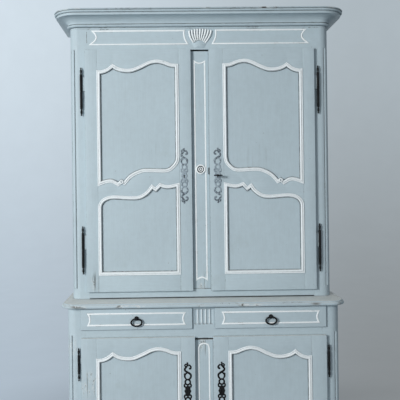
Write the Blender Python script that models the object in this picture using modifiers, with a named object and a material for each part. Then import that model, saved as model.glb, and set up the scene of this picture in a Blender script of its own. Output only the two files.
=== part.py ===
"""Two-part buffet: a low cupboard with two drawers and two doors, and a tall two-door case on top of it.

The front faces -Y, +X is the right-hand side seen from the front, +Z is up and the floor is z = 0.
Front plates are drawn as outlines in X and Z, plan shapes as outlines in X and Y. Metres throughout.
"""

import math

import bmesh
import bpy
from mathutils import Matrix, Vector

# Overall sizes
TOTAL_HEIGHT = 2.300
LOWER_HEIGHT = 0.900
LOWER_WIDTH = 1.286
LOWER_DEPTH = 0.520
UPPER_WIDTH = 1.268
UPPER_DEPTH = 0.400

# Buffet top and cornice
TOP_THICK = 0.022
TOP_OVERHANG = 0.030
TOP_SIDE_OVERHANG = 0.029
TOP_EDGE_ROUND = 0.008
CORNICE_HEIGHT = 0.085
CORNICE_OUT = 0.077
ROOF_THICK = 0.022

# Timber sections
POST_WIDE = 0.085
POST_DEEP = 0.065
POST_ROUND = 0.045
RAIL_THICK = 0.030
SIDE_THICK = 0.024
SIDE_SETBACK = 0.003
BACK_POST_WIDE = 0.050
BACK_POST_DEEP = 0.060
BOARD_THICK = 0.018
BACK_THICK = 0.014
BACK_INSET = 0.007
LEDGE_WIDE = 0.020
LEDGE_TALL = 0.025

# Heights of the front, as seen from outside
FRIEZE_SHOWN = 0.102
BASE_SHOWN = 0.036
DRAWER_TALL = 0.100
DRAWER_RAIL_SHOWN = 0.037
FOOT_SHOWN = 0.188
SIDE_FOOT = 0.090
DRAWER_UNDER_TOP = 0.003

# Half widths of the centre posts between the two doors and between the two drawers, as seen from outside
UPPER_CENTRE = 0.049
LOWER_CENTRE = 0.047
DRAWER_CENTRE = 0.0535
CENTRE_LINE_IN = 0.0225

# Fits: between fixed pieces, round a moving piece and under a drawer
SEAT = 0.0003
FIT = 0.0022
RUN = 0.0006

# How far the lip of a door or drawer covers the frame round it, and the corner posts at its hinge side
LIP = 0.008
LIP_SIDE = 0.012
UPPER_DOOR_COVER = 0.009
LOWER_DOOR_COVER = 0.017
DRAWER_COVER = 0.019

# Doors
DOOR_PROUD = 0.018
DOOR_INSET = 0.014
UPPER_STILE_OUT = 0.058
UPPER_STILE_IN = 0.055
LOWER_STILE_OUT = 0.071
LOWER_STILE_IN = 0.062
LOWER_RAIL_UNDER = 0.078
LOWER_RAIL_OVER = 0.094

# Corners of the upper door's panels on its hinge side, as shares of the door's height from its top
TALL_PANEL_TOP = 0.0861
TALL_PANEL_LOW = 0.5595
SHORT_PANEL_TOP = 0.6466
SHORT_PANEL_LOW = 0.9314

# Panels and the grooves that hold them
PANEL_THICK = 0.010
PANEL_HELD = 0.008
GROOVE_WALL = 0.0066
CURVE_PITCH = 0.025

# Hinges
UPPER_HINGE_OFF = 0.0195
LOWER_HINGE_OFF = 0.0125
HINGE_IN = 0.010
BARREL_R = 0.0075
PIN_R = 0.0033
FINIAL_TALL = 0.040
UPPER_HINGE = 0.236
LOWER_HINGE = 0.156
LEAF_THICK = 0.002
LEAF_DEEP = 0.024

# Where a door's hinges sit: their middles, as a share of the door's height from each end
UPPER_HINGE_AT = 0.1726
LOWER_HINGE_AT = 0.2218

# Ironwork
SCUTCHEON_TALL = 0.266
SCUTCHEON_HALF = 0.016
SCUTCHEON_THICK = 0.0022
SCUTCHEON_SET = 0.0325
UPPER_LOCK_UP = 0.560
LOWER_LOCK_UP = 0.299
ROSETTE_UP = 0.031
KEY_R = 0.0030
BOLT_TALL = 0.020
BOLT_THICK = 0.007
BOLT_LONG = 0.058
BOLT_THROW = 0.012

# Drawers and pulls
DRAWER_PROUD = 0.009
DRAWER_INSET = 0.016
DRAWER_BACK_ROOM = 0.083
DRAWER_SIDE_TALL = 0.074
DRAWER_WALL = 0.012
DRAWER_FLOOR = 0.008
TANG_R = 0.0035
PULL_DOWN = 0.047
PULL_OUT = 0.0115
PULL_BALL_R = 0.0075
RING_HALF_WIDE = 0.0265
RING_HALF_TALL = 0.0180
RING_R = 0.0029

# Planes that follow from the sizes above
DEPTH = LOWER_DEPTH + TOP_OVERHANG
BACK = DEPTH / 2
LOWER_FACE = BACK - LOWER_DEPTH
UPPER_FACE = BACK - UPPER_DEPTH
TOP_UNDER = LOWER_HEIGHT - TOP_THICK
CORNICE_Z = TOTAL_HEIGHT - CORNICE_HEIGHT
UPPER_DOOR_TOP = CORNICE_Z - FRIEZE_SHOWN
UPPER_DOOR_BOTTOM = LOWER_HEIGHT + BASE_SHOWN
DRAWER_TOP = TOP_UNDER - DRAWER_UNDER_TOP
DRAWER_BOTTOM = DRAWER_TOP - DRAWER_TALL
DRAWER_DEEP = LOWER_DEPTH - DRAWER_INSET - DRAWER_BACK_ROOM - BACK_INSET - BACK_THICK
LOWER_DOOR_TOP = DRAWER_BOTTOM - DRAWER_RAIL_SHOWN
LOWER_DOOR_BOTTOM = FOOT_SHOWN
UPPER_POST_IN = UPPER_WIDTH / 2 - POST_WIDE
LOWER_POST_IN = LOWER_WIDTH / 2 - POST_WIDE
DECK_TOP = DRAWER_BOTTOM + LIP
SHELF_TOP = (UPPER_DOOR_TOP + UPPER_DOOR_BOTTOM) / 2
UPPER_FLOOR_TOP = UPPER_DOOR_BOTTOM + LIP
LOWER_FLOOR_TOP = LOWER_DOOR_BOTTOM + LIP
UPPER_LOCK_Z = UPPER_DOOR_BOTTOM + UPPER_LOCK_UP
LOWER_LOCK_Z = LOWER_DOOR_BOTTOM + LOWER_LOCK_UP
ROOF_TOP = TOTAL_HEIGHT - 0.003

# Moulding round each door panel: distance in from its outer edge, height above the door face
MOULDING = [
    (-0.0006, -0.0062),
    (0.0006, 0.0022),
    (0.0045, 0.0062),
    (0.0100, 0.0058),
    (0.0142, 0.0005),
    (0.0150, -0.0062),
]

# Small bead that outlines the frieze, drawer and centre post panels
BEAD = [(-0.0030, -0.0010), (0.0030, -0.0010), (0.0020, 0.0016), (0.0, 0.0024), (-0.0020, 0.0016)]

# Cornice section: distance out from the case, height above the frieze, from the lower bead to the nose
CORNICE_FACE = [
    (0.000, 0.000),
    (0.010, 0.002),
    (0.013, 0.008),
    (0.010, 0.014),
    (0.007, 0.016),
    (0.012, 0.030),
    (0.022, 0.042),
    (0.038, 0.052),
    (0.048, 0.055),
    (0.052, 0.063),
    (0.060, 0.065),
    (0.066, 0.073),
    (0.064, 0.081),
    (0.057, 0.085),
]

# Lower edge of the apron from its middle to a foot: shares of its half span and of the height under the floor
APRON_EDGE = [
    (0.0, 0.43),
    (0.126, 0.485),
    (0.341, 0.571),
    (0.592, 0.551),
    (0.771, 0.459),
    (0.906, 0.337),
    (1.0, 0.255),
]

# Rosette on the upper centre post: radius, height above the post
ROSETTE = [
    (0.0, 0.0050),
    (0.0030, 0.0045),
    (0.0042, 0.0018),
    (0.0095, 0.0040),
    (0.0140, 0.0020),
    (0.0180, 0.0062),
    (0.0220, 0.0058),
    (0.0245, 0.0010),
    (0.0245, -0.0030),
    (0.0, -0.0030),
]

# Carved shell of the frieze: half widths of its fan, its height and the bead panels' room round it
SHELL_HALF = 0.060
SHELL_FOOT = 0.012
SHELL_LOW = 0.034
SHELL_UNDER = 0.007
SHELL_RIBS = 9
FRIEZE_LINE_LOW = 0.020
FRIEZE_LINE_HIGH = 0.011
FRIEZE_LINE_END = 0.015

# Carved edges of the door panels, as runs of knots from the hinge side to the lock side.
# Each knot is a share of the panel's width and a rise above the corner on the hinge side.
CRESTED_TOP = [
    [(0.000, 0.000), (0.080, 0.001), (0.195, 0.028)],
    [(0.195, 0.028), (0.350, 0.008), (0.550, 0.028), (0.730, 0.047), (0.900, 0.029), (1.000, 0.0285)],
]
SCROLLED_BOTTOM = [
    [(0.000, 0.000), (0.100, 0.012), (0.170, 0.0125), (0.250, -0.001)],
    [(0.250, -0.001), (0.288, 0.016)],
    [(0.288, 0.016), (0.330, 0.006)],
    [
        (0.330, 0.006),
        (0.415, 0.038),
        (0.528, 0.059),
        (0.620, 0.062),
        (0.840, 0.060),
        (0.930, 0.078),
        (0.985, 0.106),
        (1.000, 0.134),
    ],
]
SCROLLED_TOP = [
    [
        (0.000, 0.000),
        (0.017, 0.018),
        (0.068, 0.039),
        (0.180, 0.0515),
        (0.420, 0.0465),
        (0.520, 0.052),
        (0.600, 0.074),
        (0.656, 0.103),
    ],
    [(0.656, 0.103), (0.705, 0.084)],
    [(0.705, 0.084), (0.755, 0.109)],
    [(0.755, 0.109), (0.854, 0.0985), (1.000, 0.109)],
]
STRAIGHT = [[(0.0, 0.0), (1.0, 0.0)]]


def clear_scene():
    for item in list(bpy.data.objects):
        bpy.data.objects.remove(item, do_unlink=True)
    for mesh in list(bpy.data.meshes):
        bpy.data.meshes.remove(mesh)


def new_collection(name):
    made = bpy.data.collections.new(name)
    bpy.context.scene.collection.children.link(made)
    return made


def paint(name, colour, roughness, metallic=0.0):
    made = bpy.data.materials.new(name)
    made.use_nodes = True
    shader = made.node_tree.nodes["Principled BSDF"]
    shader.inputs["Base Color"].default_value = (*colour, 1.0)
    shader.inputs["Roughness"].default_value = roughness
    shader.inputs["Metallic"].default_value = metallic
    made.diffuse_color = (*colour, 1.0)
    return made


clear_scene()
PARTS = new_collection("two_part_buffet")
CUTTERS = new_collection("cutters")
CUTTERS.hide_render = True
PAINTED = paint("blue_grey_painted_wood", (0.42, 0.50, 0.55), 0.55)
BARE = paint("bare_pine", (0.52, 0.36, 0.20), 0.65)
IRON = paint("black_iron", (0.02, 0.02, 0.022), 0.5, 0.8)
PAINTED_IRON = paint("painted_iron", (0.30, 0.36, 0.41), 0.5)


def shape(mesh, label):
    """A helper object, out of the render until keep() makes it a piece of the buffet."""
    made = bpy.data.objects.new(label, mesh)
    CUTTERS.objects.link(made)
    made.hide_render = True
    made.display_type = "WIRE"
    return made


def keep(item, name, material):
    item.name = name
    item.data.name = name
    item.data.materials.clear()
    item.data.materials.append(material)
    CUTTERS.objects.unlink(item)
    PARTS.objects.link(item)
    item.hide_render = False
    item.display_type = "TEXTURED"
    return item


def boolean(item, tools, operation):
    """One exact Boolean with all the tools that act together."""
    step = item.modifiers.new(operation.lower(), "BOOLEAN")
    step.operation = operation
    step.solver = "EXACT"
    if len(tools) == 1:
        step.object = tools[0]
        return item
    group = bpy.data.collections.new("tools")
    CUTTERS.children.link(group)
    for tool in tools:
        CUTTERS.objects.unlink(tool)
        group.objects.link(tool)
    step.operand_type = "COLLECTION"
    step.collection = group
    return item


def cut(item, *tools):
    return boolean(item, tools, "DIFFERENCE")


def join(item, *tools):
    return boolean(item, tools, "UNION")


def tidy(mesh):
    work = bmesh.new()
    work.from_mesh(mesh)
    bmesh.ops.remove_doubles(work, verts=work.verts, dist=1e-6)
    bmesh.ops.recalc_face_normals(work, faces=work.faces)
    work.to_mesh(mesh)
    work.free()
    return mesh


def box(x, y, z):
    """A block between two limits on each axis, in either order."""
    low = Vector((min(x), min(y), min(z)))
    high = Vector((max(x), max(y), max(z)))
    work = bmesh.new()
    place = Matrix.Translation((low + high) / 2) @ Matrix.Diagonal((*(high - low), 1.0))
    bmesh.ops.create_cube(work, size=1.0, matrix=place)
    mesh = bpy.data.meshes.new("box")
    work.to_mesh(mesh)
    work.free()
    return shape(mesh, "box")


def round_bar(radius, ends, segments=12, end_radius=None):
    """A straight bar between two points, tapered when it has a second radius."""
    start = Vector(ends[0])
    end = Vector(ends[1])
    run = end - start
    turn = run.to_track_quat("Z", "Y").to_matrix().to_4x4()
    work = bmesh.new()
    bmesh.ops.create_cone(
        work,
        cap_ends=True,
        segments=segments,
        radius1=radius,
        radius2=end_radius or radius,
        depth=run.length,
        matrix=Matrix.Translation((start + end) / 2) @ turn,
    )
    mesh = bpy.data.meshes.new("round_bar")
    work.to_mesh(mesh)
    work.free()
    return shape(mesh, "round_bar")


def drawn(loops, cyclic=True):
    """A flat curve object from lists of points."""
    curve = bpy.data.curves.new("drawn", "CURVE")
    curve.dimensions = "2D"
    for loop in loops:
        spline = curve.splines.new("POLY")
        spline.points.add(len(loop) - 1)
        for point, at in zip(spline.points, loop):
            point.co = (at[0], at[1], 0.0, 1.0)
        spline.use_cyclic_u = cyclic
    made = bpy.data.objects.new("drawn", curve)
    CUTTERS.objects.link(made)
    return made


def meshed(source, label, place):
    """Turns a curve into a closed mesh standing where it is wanted, and removes the curve."""
    bpy.context.view_layer.update()
    graph = bpy.context.evaluated_depsgraph_get()
    mesh = bpy.data.meshes.new_from_object(source.evaluated_get(graph))
    bpy.data.objects.remove(source, do_unlink=True)
    mesh.transform(place)
    return shape(tidy(mesh), label)


def block(loop, half, place):
    """One outline without holes, drawn as a single face and pulled up into a solid."""
    work = bmesh.new()
    face = work.faces.new([work.verts.new((x, y, -half)) for x, y in loop])
    pulled = bmesh.ops.extrude_face_region(work, geom=[face])
    corners = [item for item in pulled["geom"] if isinstance(item, bmesh.types.BMVert)]
    bmesh.ops.translate(work, verts=corners, vec=(0.0, 0.0, 2 * half))
    bmesh.ops.recalc_face_normals(work, faces=work.faces)
    mesh = bpy.data.meshes.new("plate")
    work.to_mesh(mesh)
    work.free()
    mesh.transform(place)
    return shape(mesh, "plate")


def extruded(loops, half, place, edge_round=0.0):
    if len(loops) == 1 and not edge_round:
        return block(loops[0], half, place)
    source = drawn(loops)
    source.data.fill_mode = "BOTH"
    source.data.extrude = half - edge_round
    source.data.bevel_depth = edge_round
    source.data.bevel_resolution = 2
    source.data.offset = -edge_round
    return meshed(source, "plate", place)


FRONTWARD = Matrix(((1, 0, 0, 0), (0, 0, -1, 0), (0, 1, 0, 0), (0, 0, 0, 1)))


def plate(loops, y):
    """An outline in X and Z, with any holes after it, given thickness along Y."""
    place = Matrix.Translation((0.0, sum(y) / 2, 0.0)) @ FRONTWARD
    return extruded(loops, abs(y[1] - y[0]) / 2, place)


def prism(loops, z, edge_round=0.0):
    """An outline in X and Y given thickness along Z."""
    place = Matrix.Translation((0.0, 0.0, sum(z) / 2))
    return extruded(loops, abs(z[1] - z[0]) / 2, place, edge_round)


def swept(path, section, place, cyclic=True):
    """A section carried along a path with mitred corners.

    The section's +X is inward on a closed path, and to the right of the way an open path runs.
    """
    section_curve = drawn([section])
    source = drawn([path], cyclic)
    source.data.fill_mode = "NONE"
    source.data.bevel_mode = "OBJECT"
    source.data.bevel_object = section_curve
    source.data.use_fill_caps = not cyclic
    made = meshed(source, "moulding", place)
    bpy.data.objects.remove(section_curve, do_unlink=True)
    return made


def on_front(path, section, y, cyclic=True):
    """A moulding laid on a front face, its section's +Y standing out towards the viewer."""
    return swept(path, section, Matrix.Translation((0.0, y, 0.0)) @ FRONTWARD, cyclic)


def turned(section, segments, place):
    """A round piece from a half section of radius and height pairs."""
    mesh = bpy.data.meshes.new("turned")
    points = [(radius, 0.0, height) for radius, height in section]
    mesh.from_pydata(points, [(i, i + 1) for i in range(len(points) - 1)], [])
    source = bpy.data.objects.new("turned", mesh)
    CUTTERS.objects.link(source)
    spin = source.modifiers.new("spin", "SCREW")
    spin.axis = "Z"
    spin.steps = segments
    spin.render_steps = segments
    spin.use_merge_vertices = True
    spin.merge_threshold = 0.00001
    return meshed(source, "turned", place)


def area(loop):
    total = 0.0
    for (x0, y0), (x1, y1) in zip(loop, loop[1:] + loop[:1]):
        total += x0 * y1 - x1 * y0
    return total / 2


def anticlockwise(loop):
    if area(loop) < 0:
        return loop[::-1]
    return loop


def inset(loop, gap):
    """The outline moved inward by gap, or outward when gap is negative, with mitred corners."""
    count = len(loop)
    made = []
    for i in range(count):
        before = Vector(loop[i - 1])
        here = Vector(loop[i])
        after = Vector(loop[(i + 1) % count])
        along_in = (here - before).normalized()
        along_out = (after - here).normalized()
        side_in = Vector((-along_in.y, along_in.x))
        side_out = Vector((-along_out.y, along_out.x))
        lean = (side_in + side_out) / (1.0 + side_in.dot(side_out))
        made.append(tuple(here + lean * gap))
    return made


def smooth_run(knots, pitch=CURVE_PITCH):
    """Points of a smooth curve through the knots. Two knots make a straight line."""
    points = [Vector(knot) for knot in knots]
    if len(points) == 2:
        return [tuple(point) for point in points]
    made = [tuple(points[0])]
    for i in range(len(points) - 1):
        start = points[i]
        end = points[i + 1]
        before = points[i - 1] if i else start * 2 - end
        after = points[i + 2] if i + 2 < len(points) else end * 2 - start
        steps = max(1, round((end - start).length / pitch))
        for k in range(1, steps + 1):
            t = k / steps
            bend = (before * -1 + start * 3 - end * 3 + after) * t**3
            bend += (before * 2 - start * 5 + end * 4 - after) * t**2
            bend += (end - before) * t + start * 2
            made.append(tuple(bend / 2))
    return made


def carved_edge(runs, x_hinge, x_lock, level):
    made = []
    for run in runs:
        knots = [(x_hinge + share * (x_lock - x_hinge), level + rise) for share, rise in run]
        points = smooth_run(knots)
        made += points[1:] if made else points
    return made


def panel_outline(x_hinge, x_lock, low, high, bottom, top):
    """The outer edge of a door panel's moulding."""
    under = carved_edge(bottom, x_hinge, x_lock, low)
    over = carved_edge(top, x_hinge, x_lock, high)
    return anticlockwise(under + over[::-1])


def arc(centre, radius, start, end, steps):
    made = []
    for i in range(steps + 1):
        turn = math.radians(start + (end - start) * i / steps)
        made.append((centre[0] + radius * math.cos(turn), centre[1] + radius * math.sin(turn)))
    return made


def rectangle(x, z):
    return [(min(x), min(z)), (max(x), min(z)), (max(x), max(z)), (min(x), max(z))]


def mirrored(points):
    return [(-x, y) for x, y in points]


def hollow_end(x, low, high, depth, steps=8):
    """Points from low to high of a curved end. A negative depth curves it towards -X."""
    made = []
    for i in range(steps + 1):
        share = i / steps
        made.append((x + depth * math.sin(math.pi * share), low + (high - low) * share))
    return made


def named(part, side):
    return f"{part}_{'right' if side > 0 else 'left'}"


def ride(axis_name, at, items):
    """Puts the moving pieces under an empty that stands on their joint axis, and returns the empty."""
    axis = bpy.data.objects.new(axis_name, None)
    axis.location = at
    axis.empty_display_size = 0.05
    PARTS.objects.link(axis)
    place = Matrix.Translation(at).inverted()
    for item in items:
        item.parent = axis
        item.matrix_parent_inverse = place
    return axis


def corner_post(name, side, half_width, face, low, high, bead=None):
    """A square post with its outer front corner rounded, and a stopped bead worked on the round."""
    out = half_width
    inner = half_width - POST_WIDE
    centre = (out - POST_ROUND, face + POST_ROUND)
    plan = [(inner, face)] + arc(centre, POST_ROUND, -90, 0, 8)
    plan += [(out, face + POST_DEEP), (inner, face + POST_DEEP)]
    if side < 0:
        plan = mirrored(plan)
    post = prism([anticlockwise(plan)], (low, high))
    if bead:
        for turn in (-62, -34):
            angle = math.radians(turn)
            reach = POST_ROUND - 0.0010
            groove = box((-0.0012, 0.0012), (-0.0030, 0.0030), bead)
            place = Matrix.Translation(
                (side * (centre[0] + reach * math.cos(angle)), centre[1] + reach * math.sin(angle), 0.0)
            )
            groove.data.transform(place @ Matrix.Rotation(side * (angle + math.pi / 2), 4, "Z"))
            cut(post, groove)
    return keep(post, name, PAINTED)


def case_side(name, side, half_width, face, low, foot, high, panels, ledges):
    """A framed side with its back post, sunk panels outside and ledges inside for the boards."""
    out = side * (half_width - SIDE_SETBACK)
    inner = out - side * SIDE_THICK
    front = face + POST_DEEP + SEAT
    made = box((inner, out), (front, BACK - 0.001), (low, high))
    back_post_x = (out - side * BACK_POST_WIDE, out - side * 0.0001)
    join(made, box(back_post_x, (BACK - BACK_POST_DEEP, BACK), (foot, high)))
    for bottom, top in panels:
        reach = (front + 0.045, BACK - BACK_POST_DEEP - 0.004)
        cut(made, box((out - side * 0.007, out + side * 0.01), reach, (bottom, top)))
    for width, bottom, top in ledges:
        reach = (front + 0.012, BACK - BACK_POST_DEEP + 0.006)
        join(made, box((inner + side * 0.004, inner - side * width), reach, (bottom, top)))
    return keep(made, name, PAINTED)


def inner_board(front, face, half_width, post_in):
    """Plan of a board that fills a case, notched round the front and back posts."""
    side_in = half_width - SIDE_SETBACK - SIDE_THICK - SEAT
    post_back = face + POST_DEEP + SEAT
    rear_in = half_width - SIDE_SETBACK - BACK_POST_WIDE - SEAT
    rear_face = BACK - BACK_POST_DEEP - SEAT
    end = BACK - BACK_INSET - BACK_THICK - SEAT
    half = [(post_in - 2 * SEAT, front), (post_in - 2 * SEAT, post_back), (side_in, post_back)]
    half += [(side_in, rear_face), (rear_in, rear_face), (rear_in, end)]
    return half + mirrored(half)[::-1]


def back_board(name, half_width, low, high):
    reach = half_width - SIDE_SETBACK - BACK_POST_WIDE - SEAT
    made = box((-reach, reach), (BACK - BACK_INSET - BACK_THICK, BACK - BACK_INSET), (low, high))
    for i in range(1, 6):
        x = -reach + 2 * reach * i / 6
        cut(made, box((x - 0.0015, x + 0.0015), (BACK - BACK_INSET - 0.004, BACK), (low - 0.01, high + 0.01)))
    return keep(made, name, BARE)


def leaf_boxes(x, x_door, face, side, middle, length, spare):
    """The frame leaf and the door leaf of one hinge, each grown by spare."""
    y = face - HINGE_IN
    half = LEAF_THICK / 2 + spare
    frame_z = (middle - length / 2 + FINIAL_TALL + 0.006 - spare, middle - 0.004 + spare)
    door_z = (middle + 0.004 - spare, middle + length / 2 - FINIAL_TALL - 0.006 + spare)
    frame_leaf = box((x - half, x + half), (y, face + LEAF_DEEP + spare), frame_z)
    door_leaf = box((x, x_door - side * (LEAF_DEEP + spare)), (y - half, y + half), door_z)
    return frame_leaf, door_leaf


def hinge(place_name, side, x, x_door, face, middle, length):
    """A pin hinge with vase finials. The lower half carries the pin, and the upper half turns on it."""
    place = Matrix.Translation((x, face - HINGE_IN, middle))
    end = length / 2
    vase = [
        (0.0, -end),
        (0.0030, -end + 0.004),
        (0.0058, -end + 0.016),
        (0.0030, -end + 0.029),
        (BARREL_R, -end + FINIAL_TALL),
    ]
    pin_top = end - FINIAL_TALL
    lower = vase + [(BARREL_R, -SEAT), (PIN_R, -SEAT), (PIN_R, pin_top - 0.001), (0.0, pin_top - 0.001)]
    bore = PIN_R + SEAT
    upper = [(0.0, pin_top), (bore, pin_top), (bore, 0.0), (BARREL_R, 0.0)]
    upper += [(radius, -height) for radius, height in reversed(vase)]
    frame_leaf, door_leaf = leaf_boxes(x, x_door, face, side, middle, length, 0.0)
    pin_half = join(turned(lower, 8, place), frame_leaf)
    door_half = turned(upper, 8, place)
    # The door leaf stops short of the bore, so that the pin runs clear of it.
    y = face - HINGE_IN
    cut(door_leaf, round_bar(PIN_R + 0.002, ((x, y, middle - length), (x, y, middle + length))))
    join(door_half, door_leaf)
    keep(pin_half, f"{place_name}_pin", IRON)
    return keep(door_half, f"{place_name}_knuckle", IRON)


def door_frame(name, side, face, x_axis, x_out, x_in, low, high, outlines, frame_edges, hinges, lock_tools):
    """A lipped door frame with carved openings, a moulding stuck round each, and a groove for each panel."""
    front = face - DOOR_PROUD
    lip = rectangle((side * x_in, side * x_out), (low, high))
    holes = [inset(outline, PANEL_HELD) for outline in outlines]
    frame = plate([lip] + holes, (front, face + DOOR_INSET))
    edge_in, edge_out, edge_low, edge_high = frame_edges
    body = rectangle((side * edge_in, side * edge_out), (edge_low, edge_high))
    around = rectangle((side * (x_in - 0.01), side * (x_out + 0.01)), (low - 0.01, high + 0.01))
    tools = [plate([around, body], (face - SEAT, face + DOOR_INSET + 0.01))]
    groove = (front + GROOVE_WALL, front + GROOVE_WALL + PANEL_THICK + 2 * SEAT)
    tools += [plate([inset(outline, -SEAT)], groove) for outline in outlines]
    for middle, length in hinges:
        frame_mortise, door_mortise = leaf_boxes(x_axis, side * x_out, face, side, middle, length, SEAT)
        bpy.data.objects.remove(frame_mortise, do_unlink=True)
        tools.append(door_mortise)
    cut(frame, *tools, *lock_tools)
    join(frame, *[on_front(outline, MOULDING, front) for outline in outlines])
    return keep(frame, name, PAINTED)


def door_panel(name, face, outline):
    front = face - DOOR_PROUD + GROOVE_WALL + SEAT
    return keep(plate([outline], (front, front + PANEL_THICK)), name, PAINTED)


def ribbon(points, wide, spare, y, cyclic=False):
    """A flat strip of iron. Spare keeps the faces of crossing strips off one plane."""
    half = wide / 2
    high = SCUTCHEON_THICK + spare
    section = [(-half, spare), (half, spare), (half, high), (-half, high)]
    return on_front(points, section, y, cyclic)


def scutcheon(name, x, z, door_front, material, keyhole):
    """A pierced plate: a keyhole boss, then an oval loop, crossing scrolls and a stem above and below it."""
    y = door_front - SEAT
    unit = SCUTCHEON_TALL / 2
    half = SCUTCHEON_HALF
    boss = []
    for i in range(12):
        turn = 2 * math.pi * i / 12
        boss.append((x + 0.80 * half * math.cos(turn), z + 0.17 * unit * math.sin(turn)))
    made = plate([boss], (y, y - SCUTCHEON_THICK - 0.0004))
    strips = []
    for way in (1, -1):
        loop = []
        for i in range(10):
            turn = 2 * math.pi * i / 10
            rise = 0.255 + 0.165 * math.cos(turn)
            loop.append((x + 0.84 * half * math.sin(turn), z + way * unit * rise))
        strips.append(ribbon(anticlockwise(loop), 0.0042, 0.00010, y, True))
        for lean, spare in ((1, 0.00016), (-1, 0.00022)):
            scroll = [
                (0.10 * lean, 0.405),
                (0.66 * lean, 0.480),
                (0.80 * lean, 0.555),
                (0.10 * lean, 0.650),
                (-0.62 * lean, 0.725),
                (-0.84 * lean, 0.800),
                (-0.55 * lean, 0.865),
                (-0.20 * lean, 0.835),
            ]
            points = [(x + share * half, z + way * unit * rise) for share, rise in scroll]
            strips.append(ribbon(points, 0.0040, spare, y))
        stem = [(x, z + way * unit * 0.59), (x, z + way * unit)]
        strips.append(ribbon(stem, 0.0044, 0.00028, y))
    cut(made, *keyhole)
    join(made, *strips)
    return keep(made, name, material)


def bead_panel(loop, face):
    return on_front(anticlockwise(loop), BEAD, face)


def build_lower_carcass():
    half = LOWER_WIDTH / 2
    for side in (-1, 1):
        bead = (LOWER_DOOR_BOTTOM, DRAWER_TOP - 0.020)
        corner_post(named("lower_post", side), side, half, LOWER_FACE, 0.0, TOP_UNDER - SEAT, bead)
        inner_face = half - SIDE_SETBACK - SIDE_THICK
        guide = inner_face - (LOWER_POST_IN - 0.0015)
        floor_under = LOWER_FLOOR_TOP - BOARD_THICK - SEAT
        deck_under = DECK_TOP - BOARD_THICK - SEAT
        ledges = [
            (LEDGE_WIDE, floor_under - LEDGE_TALL, floor_under),
            (LEDGE_WIDE, deck_under - LEDGE_TALL, deck_under),
            (guide, DECK_TOP + SEAT, DECK_TOP + 0.030),
        ]
        panels = [(LOWER_DOOR_BOTTOM + 0.060, LOWER_DOOR_TOP + 0.030)]
        name = named("lower_side", side)
        case_side(name, side, half, LOWER_FACE, SIDE_FOOT, 0.0, TOP_UNDER - SEAT, panels, ledges)

    rail_y = (LOWER_FACE, LOWER_FACE + RAIL_THICK)
    reach = LOWER_POST_IN - SEAT
    half_edge = smooth_run([(x * reach, z * LOWER_FLOOR_TOP) for x, z in APRON_EDGE], 0.030)
    apron = [(reach, LOWER_FLOOR_TOP)] + mirrored([(reach, LOWER_FLOOR_TOP)])
    apron += mirrored(half_edge)[::-1] + half_edge[1:]
    keep(plate([anticlockwise(apron)], rail_y), "apron_rail", PAINTED)

    floor_plan = inner_board(LOWER_FACE + RAIL_THICK + SEAT, LOWER_FACE, half, LOWER_POST_IN)
    keep(prism([floor_plan], (LOWER_FLOOR_TOP - BOARD_THICK, LOWER_FLOOR_TOP)), "lower_floor", BARE)
    back_board("lower_back", half, LOWER_FLOOR_TOP - BOARD_THICK, TOP_UNDER - SEAT)

    # Drawer deck: the rail under the drawers, its dust board, the fluted block and the guide behind it.
    deck = box((-reach, reach), rail_y, (LOWER_DOOR_TOP - LIP, DECK_TOP))
    deck_plan = inner_board(LOWER_FACE + RAIL_THICK - 0.005, LOWER_FACE, half, LOWER_POST_IN)
    join(deck, prism([deck_plan], (DECK_TOP - BOARD_THICK, DECK_TOP - 0.0001)))
    wide = DRAWER_CENTRE + LIP
    divider_y = (LOWER_FACE + 0.0001, LOWER_FACE + RAIL_THICK - 0.001)
    divider = box((-wide, wide), divider_y, (DECK_TOP - 0.010, TOP_UNDER - SEAT))
    pitch = 0.346 * DRAWER_CENTRE
    flute_y = LOWER_FACE - 0.12 * pitch
    for i in range(-2, 3):
        ends = ((i * pitch, flute_y, DECK_TOP + 0.012), (i * pitch, flute_y, TOP_UNDER - 0.012))
        cut(divider, round_bar(0.367 * pitch, ends, 10))
    join(deck, divider)
    guide_y = (LOWER_FACE + RAIL_THICK / 2, BACK - DRAWER_BACK_ROOM)
    join(deck, box((-0.010, 0.010), guide_y, (DECK_TOP - 0.010, DECK_TOP + DRAWER_TALL / 2)))
    keep(deck, "drawer_deck", PAINTED)

    # Centre post between the lower doors, standing on the apron and tenoned up behind the rail's slot.
    post_half = LOWER_CENTRE + LIP_SIDE
    low = LOWER_FLOOR_TOP + SEAT
    high = LOWER_DOOR_TOP - LIP - SEAT
    post = box((-post_half, post_half), (LOWER_FACE + 0.002, LOWER_FACE + RAIL_THICK), (low, high))
    cut(post, box((-0.1, 0.1), (LOWER_FACE - 0.01, LOWER_FACE + 0.018), (high - 0.006, high + 0.01)))
    line_half = LOWER_CENTRE - CENTRE_LINE_IN
    line = centre_line(line_half, LOWER_DOOR_BOTTOM + 0.038, LOWER_DOOR_TOP - 0.034, -0.011, 0.010)
    join(post, bead_panel(line, LOWER_FACE + 0.002))
    keep(post, "lower_centre_post", PAINTED)

    # Buffet top with rounded front corners and edge.
    out = half + TOP_SIDE_OVERHANG
    front = LOWER_FACE - TOP_OVERHANG
    bend = POST_ROUND + TOP_SIDE_OVERHANG
    right = arc((out - bend, front + bend), bend, -90, 0, 8) + [(out, BACK)]
    plan = right + mirrored(right)[::-1]
    top = prism([plan], (TOP_UNDER, LOWER_HEIGHT), TOP_EDGE_ROUND)
    keep(top, "buffet_top", PAINTED)


def centre_line(half, low, high, low_dip, high_dip):
    """Outline of a narrow panel whose ends are curved by the dips: positive lowers the end's middle."""
    steps = 6
    over = []
    under = []
    for i in range(steps + 1):
        share = i / steps
        x = -half + 2 * half * share
        over.append((x, high - high_dip * math.sin(math.pi * share)))
        under.append((x, low - low_dip * math.sin(math.pi * share)))
    return under + over[::-1]


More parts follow.
